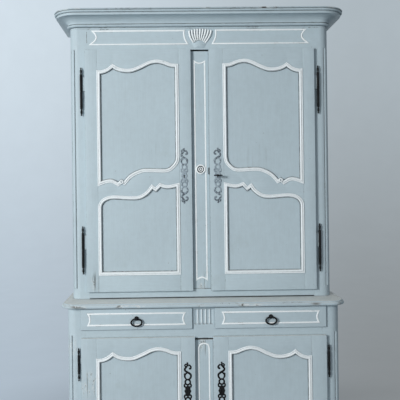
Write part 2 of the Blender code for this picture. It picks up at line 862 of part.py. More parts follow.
def build_upper_carcass():
    half = UPPER_WIDTH / 2
    top = CORNICE_Z - SEAT
    stand = LOWER_HEIGHT + SEAT
    for side in (-1, 1):
        bead = (UPPER_DOOR_BOTTOM + 0.018, UPPER_DOOR_TOP)
        corner_post(named("upper_post", side), side, half, UPPER_FACE, stand, top, bead)
        shelf_under = SHELF_TOP - BOARD_THICK - SEAT
        floor_under = UPPER_FLOOR_TOP - BOARD_THICK - SEAT
        ledges = [
            (LEDGE_WIDE, shelf_under - LEDGE_TALL, shelf_under),
            (LEDGE_WIDE, stand + 0.002, floor_under),
        ]
        panels = [(UPPER_DOOR_BOTTOM + 0.055, SHELF_TOP - 0.050), (SHELF_TOP + 0.040, UPPER_DOOR_TOP)]
        case_side(named("upper_side", side), side, half, UPPER_FACE, stand, stand, top, panels, ledges)

    rail_y = (UPPER_FACE, UPPER_FACE + RAIL_THICK)
    reach = UPPER_POST_IN - SEAT
    rail = box((-reach, reach), rail_y, (UPPER_DOOR_TOP - LIP, top))
    carving = []
    for side in (-1, 1):
        low = UPPER_DOOR_TOP + FRIEZE_LINE_LOW
        high = CORNICE_Z - FRIEZE_LINE_HIGH
        line = [(SHELL_HALF + 0.006, low)]
        line += hollow_end(UPPER_POST_IN - FRIEZE_LINE_END, low, high, -0.026)
        line += [(SHELL_HALF + 0.024, high)]
        if side < 0:
            line = mirrored(line)
        carving.append(bead_panel(line, UPPER_FACE))
    # Carved shell: ribs fanning up from a round heel. Every other rib is a hair thicker.
    shell_top = CORNICE_Z - SHELL_UNDER
    for i in range(SHELL_RIBS):
        lean = 2 * i / (SHELL_RIBS - 1) - 1
        foot = (lean * SHELL_FOOT, UPPER_FACE + 0.0005, UPPER_DOOR_TOP + SHELL_LOW)
        tip = (lean * SHELL_HALF, UPPER_FACE - 0.0010, shell_top - 0.008 * abs(lean))
        thick = 0.0002 * (i % 2)
        carving.append(round_bar(0.0022 + thick, (foot, tip), 7, 0.110 * SHELL_HALF + thick))
    heel_place = Matrix.Translation((0.0, UPPER_FACE + 0.001, UPPER_DOOR_TOP + SHELL_LOW - 0.004)) @ FRONTWARD
    heel_section = [(0.0, 0.010), (0.010, 0.008), (0.0165, 0.002), (0.0165, -0.002), (0.0, -0.002)]
    heel = turned(heel_section, 12, heel_place)
    join(rail, *carving, heel)
    keep(rail, "frieze_rail", PAINTED)

    # Floor of the upper case, with the rail that shows below the doors.
    base = box((-reach, reach), rail_y, (LOWER_HEIGHT + 0.003, UPPER_FLOOR_TOP))
    plan = inner_board(UPPER_FACE + RAIL_THICK - 0.005, UPPER_FACE, half, UPPER_POST_IN)
    join(base, prism([plan], (UPPER_FLOOR_TOP - BOARD_THICK, UPPER_FLOOR_TOP - 0.0001)))
    keep(base, "upper_floor", PAINTED)

    shelf_plan = inner_board(UPPER_FACE + RAIL_THICK + SEAT, UPPER_FACE, half, UPPER_POST_IN)
    keep(prism([shelf_plan], (SHELF_TOP - BOARD_THICK, SHELF_TOP)), "upper_shelf", BARE)
    back_board("upper_back", half, stand, ROOF_TOP - ROOF_THICK - SEAT)

    # Centre post between the upper doors, with its rosette and the mortise that takes the lock bolt.
    post_half = UPPER_CENTRE + LIP_SIDE
    low = UPPER_FLOOR_TOP + SEAT
    high = UPPER_DOOR_TOP - LIP - SEAT
    post = box((-post_half, post_half), (UPPER_FACE + 0.002, UPPER_FACE + RAIL_THICK), (low, high))
    cut(post, box((-0.1, 0.1), (UPPER_FACE - 0.01, UPPER_FACE + 0.018), (high - 0.006, high + 0.01)))
    line_half = UPPER_CENTRE - CENTRE_LINE_IN
    line = centre_line(line_half, UPPER_DOOR_BOTTOM + 0.052, UPPER_DOOR_TOP - 0.058, -0.011, 0.010)
    join(post, bead_panel(line, UPPER_FACE + 0.002))
    rosette_place = Matrix.Translation((0.0, UPPER_FACE + 0.002, UPPER_LOCK_Z + ROSETTE_UP)) @ FRONTWARD
    join(post, turned(ROSETTE, 16, rosette_place))
    bolt_z = bolt_level()
    grow = FIT / 4
    y = (bolt_plane() - BOLT_THICK / 2 - grow, bolt_plane() + BOLT_THICK / 2 + grow)
    z = (bolt_z - BOLT_TALL / 2 - grow, bolt_z + BOLT_TALL / 2 + grow)
    cut(post, box((post_half - BOLT_THROW, post_half + 0.01), y, z))
    keep(post, "upper_centre_post", PAINTED)

    # Cornice carried round the rounded posts, with the roof board and two corner blocks behind it.
    inner = -0.030
    out_scale = CORNICE_OUT / max(out for out, rise in CORNICE_FACE)
    rise_scale = CORNICE_HEIGHT / CORNICE_FACE[-1][1]
    section = [(out * out_scale, rise * rise_scale) for out, rise in CORNICE_FACE]
    section += [(inner, CORNICE_HEIGHT), (inner, 0.0)]
    right = arc((half - POST_ROUND, UPPER_FACE + POST_ROUND), POST_ROUND, -90, 0, 8) + [(half, BACK)]
    path = mirrored(right)[::-1] + right
    cornice = swept(path, section, Matrix.Translation((0.0, 0.0, CORNICE_Z)), False)
    edge = 0.012
    roof_x = half - edge
    roof_y = (UPPER_FACE + edge, BACK - 0.001)
    join(cornice, box((-roof_x, roof_x), roof_y, (ROOF_TOP - ROOF_THICK, ROOF_TOP)))
    for side in (-1, 1):
        block_x = (side * (half - SIDE_SETBACK - BACK_POST_WIDE), side * (half - edge - 0.001))
        block_y = (BACK - BACK_POST_DEEP, BACK - 0.002)
        join(cornice, box(block_x, block_y, (CORNICE_Z + 0.0005, ROOF_TOP - 0.001)))
    keep(cornice, "cornice", PAINTED)


def bolt_level():
    return UPPER_LOCK_Z + 0.014 + BOLT_TALL / 2


def bolt_plane():
    return UPPER_FACE + DOOR_INSET / 2


def keyhole_tools(x, z, front, back):
    """A round hole for the key's shank and the slot under it for the bit."""
    hole = round_bar(KEY_R + 0.0005, ((x, front - 0.01, z), (x, back, z)))
    slot = box((x - 0.0022, x + 0.0022), (front - 0.01, back), (z - 0.0115, z))
    return hole, slot


def build_upper_doors():
    x_out = UPPER_POST_IN + UPPER_DOOR_COVER
    x_in = UPPER_CENTRE
    low = UPPER_DOOR_BOTTOM
    high = UPPER_DOOR_TOP
    tall = high - low
    edges = (x_in + LIP_SIDE + FIT, UPPER_POST_IN - FIT, low + LIP + FIT, high - LIP - FIT)
    hinges = [(high - UPPER_HINGE_AT * tall, UPPER_HINGE), (low + UPPER_HINGE_AT * tall, UPPER_HINGE)]
    front = UPPER_FACE - DOOR_PROUD
    for side in (-1, 1):
        x_axis = side * (x_out + UPPER_HINGE_OFF)
        x_hinge = side * (x_out - UPPER_STILE_OUT)
        x_lock = side * (x_in + UPPER_STILE_IN)
        tall_panel = panel_outline(
            x_hinge,
            x_lock,
            high - TALL_PANEL_LOW * tall,
            high - TALL_PANEL_TOP * tall,
            SCROLLED_BOTTOM,
            CRESTED_TOP,
        )
        # The short panel is a hair narrower, so that the two openings share no straight line.
        hair = side * 0.0004
        short_panel = panel_outline(
            x_hinge - hair,
            x_lock + hair,
            high - SHORT_PANEL_LOW * tall,
            high - SHORT_PANEL_TOP * tall,
            STRAIGHT,
            SCROLLED_TOP,
        )
        x_plate = side * (x_in + SCUTCHEON_SET)
        lock_tools = lock_pocket(x_plate, edges[0]) if side > 0 else []
        frame = door_frame(
            named("upper_door_frame", side),
            side,
            UPPER_FACE,
            x_axis,
            x_out,
            x_in,
            low,
            high,
            [tall_panel, short_panel],
            edges,
            hinges,
            lock_tools,
        )
        riders = [
            frame,
            door_panel(named("upper_door_tall_panel", side), UPPER_FACE, tall_panel),
            door_panel(named("upper_door_short_panel", side), UPPER_FACE, short_panel),
        ]
        for label, (middle, length) in zip(("top", "bottom"), hinges):
            hinge_name = named(f"upper_{label}_hinge", side)
            riders.append(hinge(hinge_name, side, x_axis, side * x_out, UPPER_FACE, middle, length))
            leaves = leaf_boxes(x_axis, side * x_out, UPPER_FACE, side, middle, length, SEAT)
            frame_mortise, door_mortise = leaves
            cut(bpy.data.objects[named("upper_post", side)], frame_mortise)
            bpy.data.objects.remove(door_mortise, do_unlink=True)
        keyhole = keyhole_tools(x_plate, UPPER_LOCK_Z, front - 0.01, front + 0.010)
        plate_name = named("upper_escutcheon", side)
        riders.append(scutcheon(plate_name, x_plate, UPPER_LOCK_Z, front, PAINTED_IRON, keyhole))
        if side > 0:
            riders += build_lock(x_plate, edges[0])
        ride(named("upper_door_axis", side), (x_axis, UPPER_FACE - HINGE_IN, low), riders)


POCKET = (UPPER_FACE - 0.007, bolt_plane() + BOLT_THICK / 2 + SEAT)


def lock_pocket(x, edge):
    """Cutters for the right upper door's lock: the key's pocket, the bolt's tunnel and the keyhole."""
    front = UPPER_FACE - DOOR_PROUD
    z = UPPER_LOCK_Z
    pocket = round_bar(0.0125, ((x, POCKET[0], z), (x, POCKET[1] + SEAT / 2, z)), 16)
    tunnel_y = (bolt_plane() - BOLT_THICK / 2 - SEAT, bolt_plane() + BOLT_THICK / 2 + SEAT)
    tunnel_z = (bolt_level() - BOLT_TALL / 2 - SEAT, bolt_level() + BOLT_TALL / 2 + SEAT)
    tunnel = box((edge - 0.01, edge + 0.002 + BOLT_LONG + SEAT), tunnel_y, tunnel_z)
    return [pocket, tunnel, *keyhole_tools(x, z, front - 0.01, POCKET[0] + 0.004)]


def build_lock(x, edge):
    """A sliding bolt, and the key in its hole. It returns the empties on their two axes."""
    front = UPPER_FACE - DOOR_PROUD
    z = UPPER_LOCK_Z
    bolt_x = (edge + 0.002, edge + 0.002 + BOLT_LONG)
    bolt_y = (bolt_plane() - BOLT_THICK / 2, bolt_plane() + BOLT_THICK / 2)
    bolt = box(bolt_x, bolt_y, (bolt_level() - BOLT_TALL / 2, bolt_level() + BOLT_TALL / 2))
    keep(bolt, "lock_bolt", IRON)

    # The bow lies level, so the bit points sideways.
    shank = round_bar(KEY_R, ((x, front - 0.024, z), (x, POCKET[1] - 0.003, z)), 8)
    bit = box((x, x + 0.0105), (POCKET[0] + 0.003, POCKET[1] - 0.004), (z - 0.0015, z + 0.0015))
    collar = round_bar(0.0052, ((x, front - 0.0125, z), (x, front - 0.0085, z)), 9)
    bow = []
    for i in range(14):
        turn = 2 * math.pi * i / 14
        bow.append((x + 0.0185 * math.cos(turn), front - 0.033 + 0.0105 * math.sin(turn)))
    section = [(0.0026 * math.cos(k * math.pi / 3), 0.0026 * math.sin(k * math.pi / 3)) for k in range(6)]
    join(shank, bit, collar, swept(anticlockwise(bow), section, Matrix.Translation((0.0, 0.0, z))))
    key = keep(shank, "key", IRON)
    key_axis = ride("key_axis", (x, front, z), [key])
    bolt_axis = ride("bolt_axis", (edge, bolt_plane(), bolt_level()), [bolt])
    return [key_axis, bolt_axis]


def build_lower_doors():
    x_out = LOWER_POST_IN + LOWER_DOOR_COVER
    x_in = LOWER_CENTRE
    low = LOWER_DOOR_BOTTOM
    high = LOWER_DOOR_TOP
    tall = high - low
    edges = (x_in + LIP_SIDE + FIT, LOWER_POST_IN - FIT, low + LIP + FIT, high - LIP - FIT)
    hinges = [(high - LOWER_HINGE_AT * tall, LOWER_HINGE), (low + LOWER_HINGE_AT * tall, LOWER_HINGE)]
    front = LOWER_FACE - DOOR_PROUD
    for side in (-1, 1):
        x_axis = side * (x_out + LOWER_HINGE_OFF)
        x_hinge = side * (x_out - LOWER_STILE_OUT)
        x_lock = side * (x_in + LOWER_STILE_IN)
        outline = panel_outline(
            x_hinge, x_lock, low + LOWER_RAIL_UNDER, high - LOWER_RAIL_OVER, STRAIGHT, CRESTED_TOP
        )
        x_plate = side * (x_in + SCUTCHEON_SET)
        keyhole = keyhole_tools(x_plate, LOWER_LOCK_Z, front - 0.01, front + 0.009)
        frame_name = named("lower_door_frame", side)
        frame = door_frame(
            frame_name, side, LOWER_FACE, x_axis, x_out, x_in, low, high, [outline], edges, hinges, keyhole
        )
        riders = [frame, door_panel(named("lower_door_panel", side), LOWER_FACE, outline)]
        for label, (middle, length) in zip(("top", "bottom"), hinges):
            hinge_name = named(f"lower_{label}_hinge", side)
            riders.append(hinge(hinge_name, side, x_axis, side * x_out, LOWER_FACE, middle, length))
            leaves = leaf_boxes(x_axis, side * x_out, LOWER_FACE, side, middle, length, SEAT)
            frame_mortise, door_mortise = leaves
            cut(bpy.data.objects[named("lower_post", side)], frame_mortise)
            bpy.data.objects.remove(door_mortise, do_unlink=True)
        keyhole = keyhole_tools(x_plate, LOWER_LOCK_Z, front - 0.01, front + 0.010)
        plate_name = named("lower_escutcheon", side)
        riders.append(scutcheon(plate_name, x_plate, LOWER_LOCK_Z, front, IRON, keyhole))
        ride(named("lower_door_axis", side), (x_axis, LOWER_FACE - HINGE_IN, low), riders)


def build_drawers():
    x_out = LOWER_POST_IN + DRAWER_COVER
    low = DRAWER_BOTTOM
    high = DRAWER_TOP
    front_y = LOWER_FACE - DRAWER_PROUD
    for side in (-1, 1):
        middle = side * (x_out + DRAWER_CENTRE) / 2
        inner_x = (side * (DRAWER_CENTRE + LIP + FIT), side * (LOWER_POST_IN - FIT))
        front = box((side * DRAWER_CENTRE, side * x_out), (front_y, LOWER_FACE - SEAT), (low, high))
        inner_y = (LOWER_FACE - 0.005, LOWER_FACE + DRAWER_INSET)
        join(front, box(inner_x, inner_y, (DECK_TOP + RUN, high - 0.0005)))
        line_low = low + 0.023
        line_high = high - 0.024
        reach = (x_out - DRAWER_CENTRE) / 2 - 0.029
        line = hollow_end(middle + reach, line_low, line_high, -0.014)
        line += hollow_end(middle - reach, line_low, line_high, 0.014)[::-1]
        join(front, bead_panel(line, front_y))
        pull_z = high - PULL_DOWN
        # The pull's tang goes through the front.
        tang_ends = ((middle, front_y - 0.01, pull_z), (middle, LOWER_FACE + 0.05, pull_z))
        cut(front, round_bar(TANG_R + SEAT, tang_ends))
        keep(front, named("drawer_front", side), PAINTED)

        start = LOWER_FACE + DRAWER_INSET + SEAT
        box_low = DECK_TOP + RUN
        box_x = (inner_x[0] + side * 0.0005, inner_x[1] - side * 0.0005)
        tray = box(box_x, (start, start + DRAWER_DEEP), (box_low, box_low + DRAWER_SIDE_TALL))
        hollow_x = (box_x[0] + side * DRAWER_WALL, box_x[1] - side * DRAWER_WALL)
        hollow_y = (start - 0.01, start + DRAWER_DEEP - DRAWER_WALL)
        hollow = box(hollow_x, hollow_y, (box_low + DRAWER_FLOOR, box_low + 2 * DRAWER_SIDE_TALL))
        cut(tray, hollow)
        keep(tray, named("drawer_box", side), BARE)

        pull = pull_post(middle, pull_z, front_y)
        ring = pull_ring(middle, pull_z, front_y)
        keep(pull, named("pull_post", side), IRON)
        keep(ring, named("pull_ring", side), IRON)
        ring_axis = ride(named("ring_axis", side), (middle, front_y - PULL_OUT, pull_z), [ring])
        ride(named("drawer_axis", side), (middle, LOWER_FACE, low), [front, tray, pull, ring_axis])


def pull_post(x, z, front_y):
    """A turned knob with a hole across it for the ring and a tang through the drawer front."""
    ball = PULL_BALL_R
    section = [
        (0.0, PULL_OUT + ball),
        (0.62 * ball, PULL_OUT + 0.80 * ball),
        (0.96 * ball, PULL_OUT + 0.28 * ball),
        (0.96 * ball, PULL_OUT - 0.28 * ball),
        (0.66 * ball, PULL_OUT - 0.76 * ball),
        (0.0046, 0.0036),
        (0.0095, 0.0026),
        (0.0105, SEAT),
        (TANG_R, SEAT),
        (TANG_R, -0.020),
        (0.0, -0.020),
    ]
    made = turned(section, 10, Matrix.Translation((x, front_y, z)) @ FRONTWARD)
    y = front_y - PULL_OUT
    return cut(made, round_bar(RING_R + 0.0016, ((x - 2 * ball, y, z), (x + 2 * ball, y, z))))


def pull_ring(x, z, front_y):
    path = []
    for i in range(20):
        turn = 2 * math.pi * i / 20
        drop = RING_HALF_TALL * (1 - math.cos(turn))
        path.append((x + RING_HALF_WIDE * math.sin(turn), z - drop))
    section = [(RING_R * math.cos(k * math.pi / 3), RING_R * math.sin(k * math.pi / 3)) for k in range(6)]
    return on_front(anticlockwise(path), section, front_y - PULL_OUT)


build_lower_carcass()
build_upper_carcass()
build_upper_doors()
build_lower_doors()
build_drawers()
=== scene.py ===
"""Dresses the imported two-part buffet: blue-grey paint, white lines, black ironwork, studio and camera.

The front faces -Y, +X is the right-hand side seen from the front and +Z is up. Lengths are metres.
A paired piece is drawn for the left-hand side, and its points are mirrored for the right-hand one.
"""

import math

import bmesh
import bpy
from mathutils import Matrix, Vector


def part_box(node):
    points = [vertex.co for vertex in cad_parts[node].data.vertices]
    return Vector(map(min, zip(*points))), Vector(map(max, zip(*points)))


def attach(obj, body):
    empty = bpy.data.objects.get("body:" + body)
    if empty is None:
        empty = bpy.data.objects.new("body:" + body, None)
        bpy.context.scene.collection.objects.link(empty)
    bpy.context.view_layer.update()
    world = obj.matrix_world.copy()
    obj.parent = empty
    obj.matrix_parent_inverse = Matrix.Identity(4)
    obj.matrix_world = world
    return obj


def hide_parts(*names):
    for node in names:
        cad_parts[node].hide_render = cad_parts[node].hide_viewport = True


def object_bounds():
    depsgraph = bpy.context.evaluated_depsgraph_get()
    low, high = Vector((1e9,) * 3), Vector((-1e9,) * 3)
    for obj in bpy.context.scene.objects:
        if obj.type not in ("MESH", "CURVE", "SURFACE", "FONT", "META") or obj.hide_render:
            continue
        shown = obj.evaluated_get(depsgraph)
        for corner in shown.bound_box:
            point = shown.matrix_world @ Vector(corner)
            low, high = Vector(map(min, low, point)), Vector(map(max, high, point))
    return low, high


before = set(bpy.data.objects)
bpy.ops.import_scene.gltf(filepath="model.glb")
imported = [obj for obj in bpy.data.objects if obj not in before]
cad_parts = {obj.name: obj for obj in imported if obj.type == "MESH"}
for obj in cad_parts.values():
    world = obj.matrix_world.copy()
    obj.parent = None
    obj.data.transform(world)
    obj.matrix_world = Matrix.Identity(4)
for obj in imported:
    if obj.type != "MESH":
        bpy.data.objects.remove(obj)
cad_low, cad_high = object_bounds()

# Fineness of the curved work
PITCH = 0.0045
CORNICE_PITCH = 0.0025
STRAND_PITCH = 0.0022
FINE_PITCH = 0.0012
TURN_STEPS = 28

# Gap between pieces that rest on each other
SEAT = 0.0003

# Doors: the lip that stands proud of the case, the body behind it, and how far inside the lip the body is
DOOR_PROUD = 0.018
BODY_DEEP = 0.014
LIP_IN_LOCK = 0.0142
LIP_IN_HINGE = 0.0112
LIP_IN_END = 0.0102
EDGE_ROUND = 0.0010

# How much wider than the frame's the lips on the lock side and the right doors' lock stiles are shown
LOCK_LIP_MORE = {"upper": 0.005, "lower": 0.004}
RIGHT_STILE_MORE = {"upper": 0.008, "lower": 0.005}

# Stiles on the hinge and lock side, and rails under and over the lower panel
STILES = {"upper": (0.058, 0.055), "lower": (0.071, 0.062)}
LOWER_RAILS = (0.078, 0.094)

# Bottom and top of the upper panels, as shares of the door's height down from its top
TALL_PANEL = (0.5595, 0.0861)
SHORT_PANEL = (0.9314, 0.6466)

# Moulding round each door panel: distance in from the edge of its opening, height above the door face.
# From its fourth last point on, the section is the moulding's foot on the panel, painted dark as painted
# shade, and its back.
MOULDING = [
    (-0.0014, -0.0066), (-0.0014, 0.0006), (-0.0006, 0.0027), (0.0010, 0.0038), (0.0030, 0.0036),
    (0.0042, 0.0026), (0.0046, 0.0018), (0.0053, 0.0018), (0.0059, 0.0034), (0.0076, 0.0052),
    (0.0102, 0.0059), (0.0128, 0.0052), (0.0148, 0.0031), (0.0158, 0.0000), (0.0162, -0.0046),
    (0.0188, -0.0052), (0.0188, -0.0066),
]
FOOT_SIDES = 4
MOULDING_PAINTS = [0] * (len(MOULDING) - FOOT_SIDES) + [2] * FOOT_SIDES

# Small raised line of the frieze, drawers and centre posts: distance from its middle, height
LINE = [
    (-0.0037, -0.001), (-0.0035, 0.0008), (-0.0020, 0.0023), (0.0, 0.0028),
    (0.0020, 0.0023), (0.0035, 0.0008), (0.0037, -0.001),
]

# Carved edges of the door panels, as runs of knots from the hinge side to the lock side. A run starts at the
# last knot of the one before. A knot is a share of the panel's width and a rise above the hinge-side corner.
CRESTED_TOP = [
    [(0.000, 0.000), (0.050, -0.001), (0.120, 0.008), (0.195, 0.030)],
    [(0.260, 0.014), (0.340, 0.006), (0.430, 0.007), (0.530, 0.022), (0.640, 0.042), (0.735, 0.049),
     (0.830, 0.042), (0.910, 0.030), (1.000, 0.0275)],
]
SCROLLED_BOTTOM = [
    [(0.000, -0.004), (0.100, 0.010), (0.170, 0.0115), (0.250, -0.006)],
    [(0.288, 0.007)],
    [(0.330, 0.000)],
    [(0.415, 0.036), (0.528, 0.058), (0.620, 0.062), (0.840, 0.060), (0.930, 0.078), (0.985, 0.106),
     (1.000, 0.134)],
]
SCROLLED_TOP = [
    [(0.000, 0.000), (0.017, 0.018), (0.068, 0.039), (0.180, 0.0515), (0.420, 0.0465), (0.520, 0.052),
     (0.600, 0.074), (0.656, 0.103)],
    [(0.705, 0.089)],
    [(0.755, 0.109)],
    [(0.854, 0.0985), (1.000, 0.109)],
]
STRAIGHT = [[(0.0, 0.0), (1.0, 0.0)]]
SCROLL_EYE = (0.289, 0.0150)

# Cornice section, in runs of the same kind: distance out from the case, height above the frieze
CORNICE = [
    [(0.0005, 0.0000), (0.0005, 0.0066)],
    [(-0.0015, 0.0068)],
    [(-0.0015, 0.0092)],
    [(0.0100, 0.0096)],
    [(0.0145, 0.0120), (0.0156, 0.0152), (0.0140, 0.0188), (0.0095, 0.0208)],
    [(0.0058, 0.0210)],
    [(0.0058, 0.0238)],
    [(0.0095, 0.0242)],
    [(0.0130, 0.0330), (0.0240, 0.0440), (0.0420, 0.0525), (0.0520, 0.0542)],
    [(0.0660, 0.0545)],
    [(0.0668, 0.0555), (0.0670, 0.0600), (0.0666, 0.0650)],
    [(0.0652, 0.0652)],
    [(0.0652, 0.0668)],
    [(0.0680, 0.0671)],
    [(0.0730, 0.0680), (0.0752, 0.0712), (0.0748, 0.0746), (0.0724, 0.0766)],
    [(0.0714, 0.0768)],
    [(0.0714, 0.0780)],
    [(0.0735, 0.0783)],
    [(0.0764, 0.0798), (0.0766, 0.0825), (0.0742, 0.0845), (0.0700, 0.0850)],
]
CORNICE_BACK = 0.030

# Roof board, and the corner blocks under it with their distances in from the sides and from the back
ROOF_IN = 0.012
ROOF_DOWN = 0.003
ROOF_THICK = 0.022
ROOF_BLOCK_X = (0.053, 0.013)
ROOF_BLOCK_Y = (0.060, 0.002)

# Edge of the buffet top: distance in from its outline, height above its underside
TOP_EDGE = [
    (0.0075, 0.0000), (0.0030, 0.0012), (0.0008, 0.0038), (0.0000, 0.0075), (0.0007, 0.0115),
    (0.0028, 0.0145), (0.0052, 0.0156), (0.0066, 0.0158), (0.0066, 0.0182), (0.0070, 0.0200),
    (0.0090, 0.0216), (0.0115, 0.0220),
]
TOP_ROUND = 0.074

# Corner posts: their rounded corner, and the bead between two quirks, whose turns are in degrees
POST_ROUND = 0.045
QUIRK_TURNS = (-62, -34)
QUIRK_DEEP = 0.0075
QUIRK_REACH = 3.6
BEAD_PROUD = 0.0036
BEAD_STOP = 0.004

# Frieze: its white lines' gaps to its edges, their outer ends and bow, and their inner ends beside the shell
FRIEZE_LINE_IN = (0.028, 0.009)
FRIEZE_LINE_X = (0.532, 0.520)
FRIEZE_LINE_BOW = 0.024
SHELL_REACH = 0.0785

# Centre posts: how far behind the case's face they stand, the slot over each, whose back is painted black as
# painted shade, the pocket that takes the bolt in the upper one, and its iron keeper
CENTRE_IN = 0.002
SLOT_TALL = 0.008
SLOT_DEEP = 0.016
SLOT_UP = {"upper": 0.0075, "lower": 0.0}
BOLT_POCKET = 0.0125
BOLT_GAP = 0.0005
KEEPER_IN = 0.0235
KEEPER_WIDE = 0.0042
KEEPER_UP = (0.006, 0.038)

# Drawers: the lip's thickness, and how far inside it the body and the white line are
DRAWER_PROUD = 0.009
DRAWER_BODY_X = (0.0212, 0.0102)
DRAWER_BODY_Z = (0.0086, 0.0005)
DRAWER_LINE_X = 0.0355
DRAWER_LINE_Z = (0.023, 0.024)
DRAWER_LINE_BOW = 0.0085

# Fluted block: the pitch of its ridges as a share of half the gap between the drawers, their gaps to the
# drawers' lower edge and to the buffet top, and their shares of the white line's width and height
FLUTE_PITCH = 0.346
FLUTE_IN = (0.026, 0.013)
FLUTE_LINE = (0.44, 0.4)

# Hinges: the barrel's radius in the frame and as shown, and the finial as distances from its axis and tip
BARREL_R = 0.0075
BARREL_SHOWN = {"upper": 0.0060, "lower": 0.0052}
FINIAL = 0.040
FINIAL_KNOB = [(0.0, 0.0), (0.0030, 0.0025), (0.0034, 0.006), (0.0022, 0.0085)]
FINIAL_VASE = [(0.0022, 0.0085), (0.0044, 0.013), (0.0050, 0.019), (0.0040, 0.026), (0.0030, 0.031)]
HINGE_SEAM = 0.0004
LEAF_HALF = 0.001

# Pull rings: the wire's radius in the frame and as it is shown, and the shown ring's share of the frame's
RING_R = 0.0029
RING_SHOWN_R = 0.0038
RING_SHARE = 0.94

# Escutcheons. Strands and buds of the upper half are in millimetres from the keyhole: a strand is its half
# width, then knots across and up, and a bud is a place across and up with a radius.
STRANDS = [
    (3.2, [(0.5, 132.0), (0.0, 116.0)]),
    (4.3, [(0.0, 121.0), (5.0, 113.0), (13.0, 103.5), (10.5, 94.5), (0.8, 88.0), (-8.0, 83.0), (-14.5, 76.0),
           (-15.0, 66.5), (-10.5, 58.5), (-2.0, 53.0)]),
    (3.4, [(-3.0, 90.0), (4.0, 84.5), (11.0, 78.0), (14.0, 70.0), (11.0, 61.0), (3.0, 53.0)]),
    (2.6, [(8.0, 80.0), (12.5, 81.5), (17.0, 76.5)]),
    (3.3, [(0.0, 119.0), (-8.0, 121.0), (-15.0, 114.0), (-15.0, 105.5), (-10.0, 103.0)]),
    (2.8, [(1.0, 122.0), (7.5, 125.5), (13.0, 121.0), (11.0, 115.0)]),
    (3.2, [(-11.5, 36.0), (-15.6, 29.0), (-14.5, 20.0), (-9.0, 18.0)]),
    (3.2, [(11.5, 36.0), (15.6, 29.0), (14.5, 20.0), (9.0, 18.0)]),
]
BUDS = [(0.5, 131.0, 4.0), (-10.5, 104.5, 4.8), (10.5, 115.5, 4.0), (-8.5, 19.0, 3.6), (8.5, 19.0, 3.6)]
BUD_DOME = [(0.0, 0.0034), (0.5, 0.0031), (0.86, 0.0020), (1.0, 0.0)]
STRAND_THICK = 0.0026
EYE_AT, EYE_HALF_WIDE, EYE_HALF_TALL = 0.0420, 0.0118, 0.0120
EYE_STRAND = 0.0037
BOSS_HALF_WIDE, BOSS_HALF_TALL = 0.0142, 0.0270
BOSS_STEPS = 72

# Section of a boss from its rim to its keyhole: share of the way, height
BOSS = [
    (0.0, 0.0), (0.0, 0.0012), (0.06, 0.0021), (0.55, 0.0023), (0.80, 0.0027), (0.93, 0.0027),
    (1.0, 0.0020), (1.0, 0.0002),
]

# Key: its bow, the wire of the bow, the collared end of its shank as radius and place, and the bit
BOW_HALF_WIDE, BOW_HALF_DEEP = 0.0185, 0.0105
BOW_WIRE, BOW_WIRE_TALL = 0.0026, 0.0030
KEY_SHANK = [
    (0.0, -0.0010), (0.0030, 0.0), (0.0030, 0.0090), (0.0052, 0.0100), (0.0054, 0.0125), (0.0034, 0.0140),
    (0.0034, 0.0160), (0.0046, 0.0172), (0.0046, 0.0190), (0.0032, 0.0200),
]
SHANK_FROM = 0.0095
BIT_LONG, BIT_HALF, BIT_Y = 0.0105, 0.0015, (0.010, 0.001)

# Camera: lens in millimetres, its shift in sensor widths, its place, and its turn and roll in radians
LENS = 59.11
LENS_SHIFT = (0.05, -0.0273)
CAMERA_AT = (-0.1485, -3.3324, 1.4315)
CAMERA_TURN = -0.0143
CAMERA_ROLL = -0.0121


def srgb(red, green, blue):
    """A colour as it looks on screen, in the linear values that a shader takes."""
    made = []
    for level in (red, green, blue):
        share = level / 255
        made.append(share / 12.92 if share <= 0.04045 else ((share + 0.055) / 1.055) ** 2.4)
    return (*made, 1.0)


# Colours
PAINT = srgb(180, 197, 205)
RUBBED_PAINT = srgb(168, 183, 187)
UNDERCOAT = srgb(206, 214, 216)
# Pale dust on level tops, also painted light that makes them lighter than the fronts
DUST_AND_TOP_LIGHT = srgb(222, 223, 218)
OLD_WOOD = srgb(66, 60, 54)
# Dark paint on the foot of the mouldings, as a painted shade line on the panels
FOOT_SHADE = srgb(112, 123, 129)
# Soiling in cracks and specks, also used for painted shade in hollows
GRIME_AND_SHADE = srgb(104, 113, 116)
# Near black painted shade in deep grooves and in the gap between the cases
DEEP_SHADE = srgb(34, 37, 39)
WHITE = srgb(232, 239, 242)
LINE_WHITE = srgb(240, 246, 248)
RUBBED_WHITE = srgb(182, 198, 206)
CHIPPED_WHITE = srgb(120, 116, 108)
PAPER = srgb(208, 216, 222)


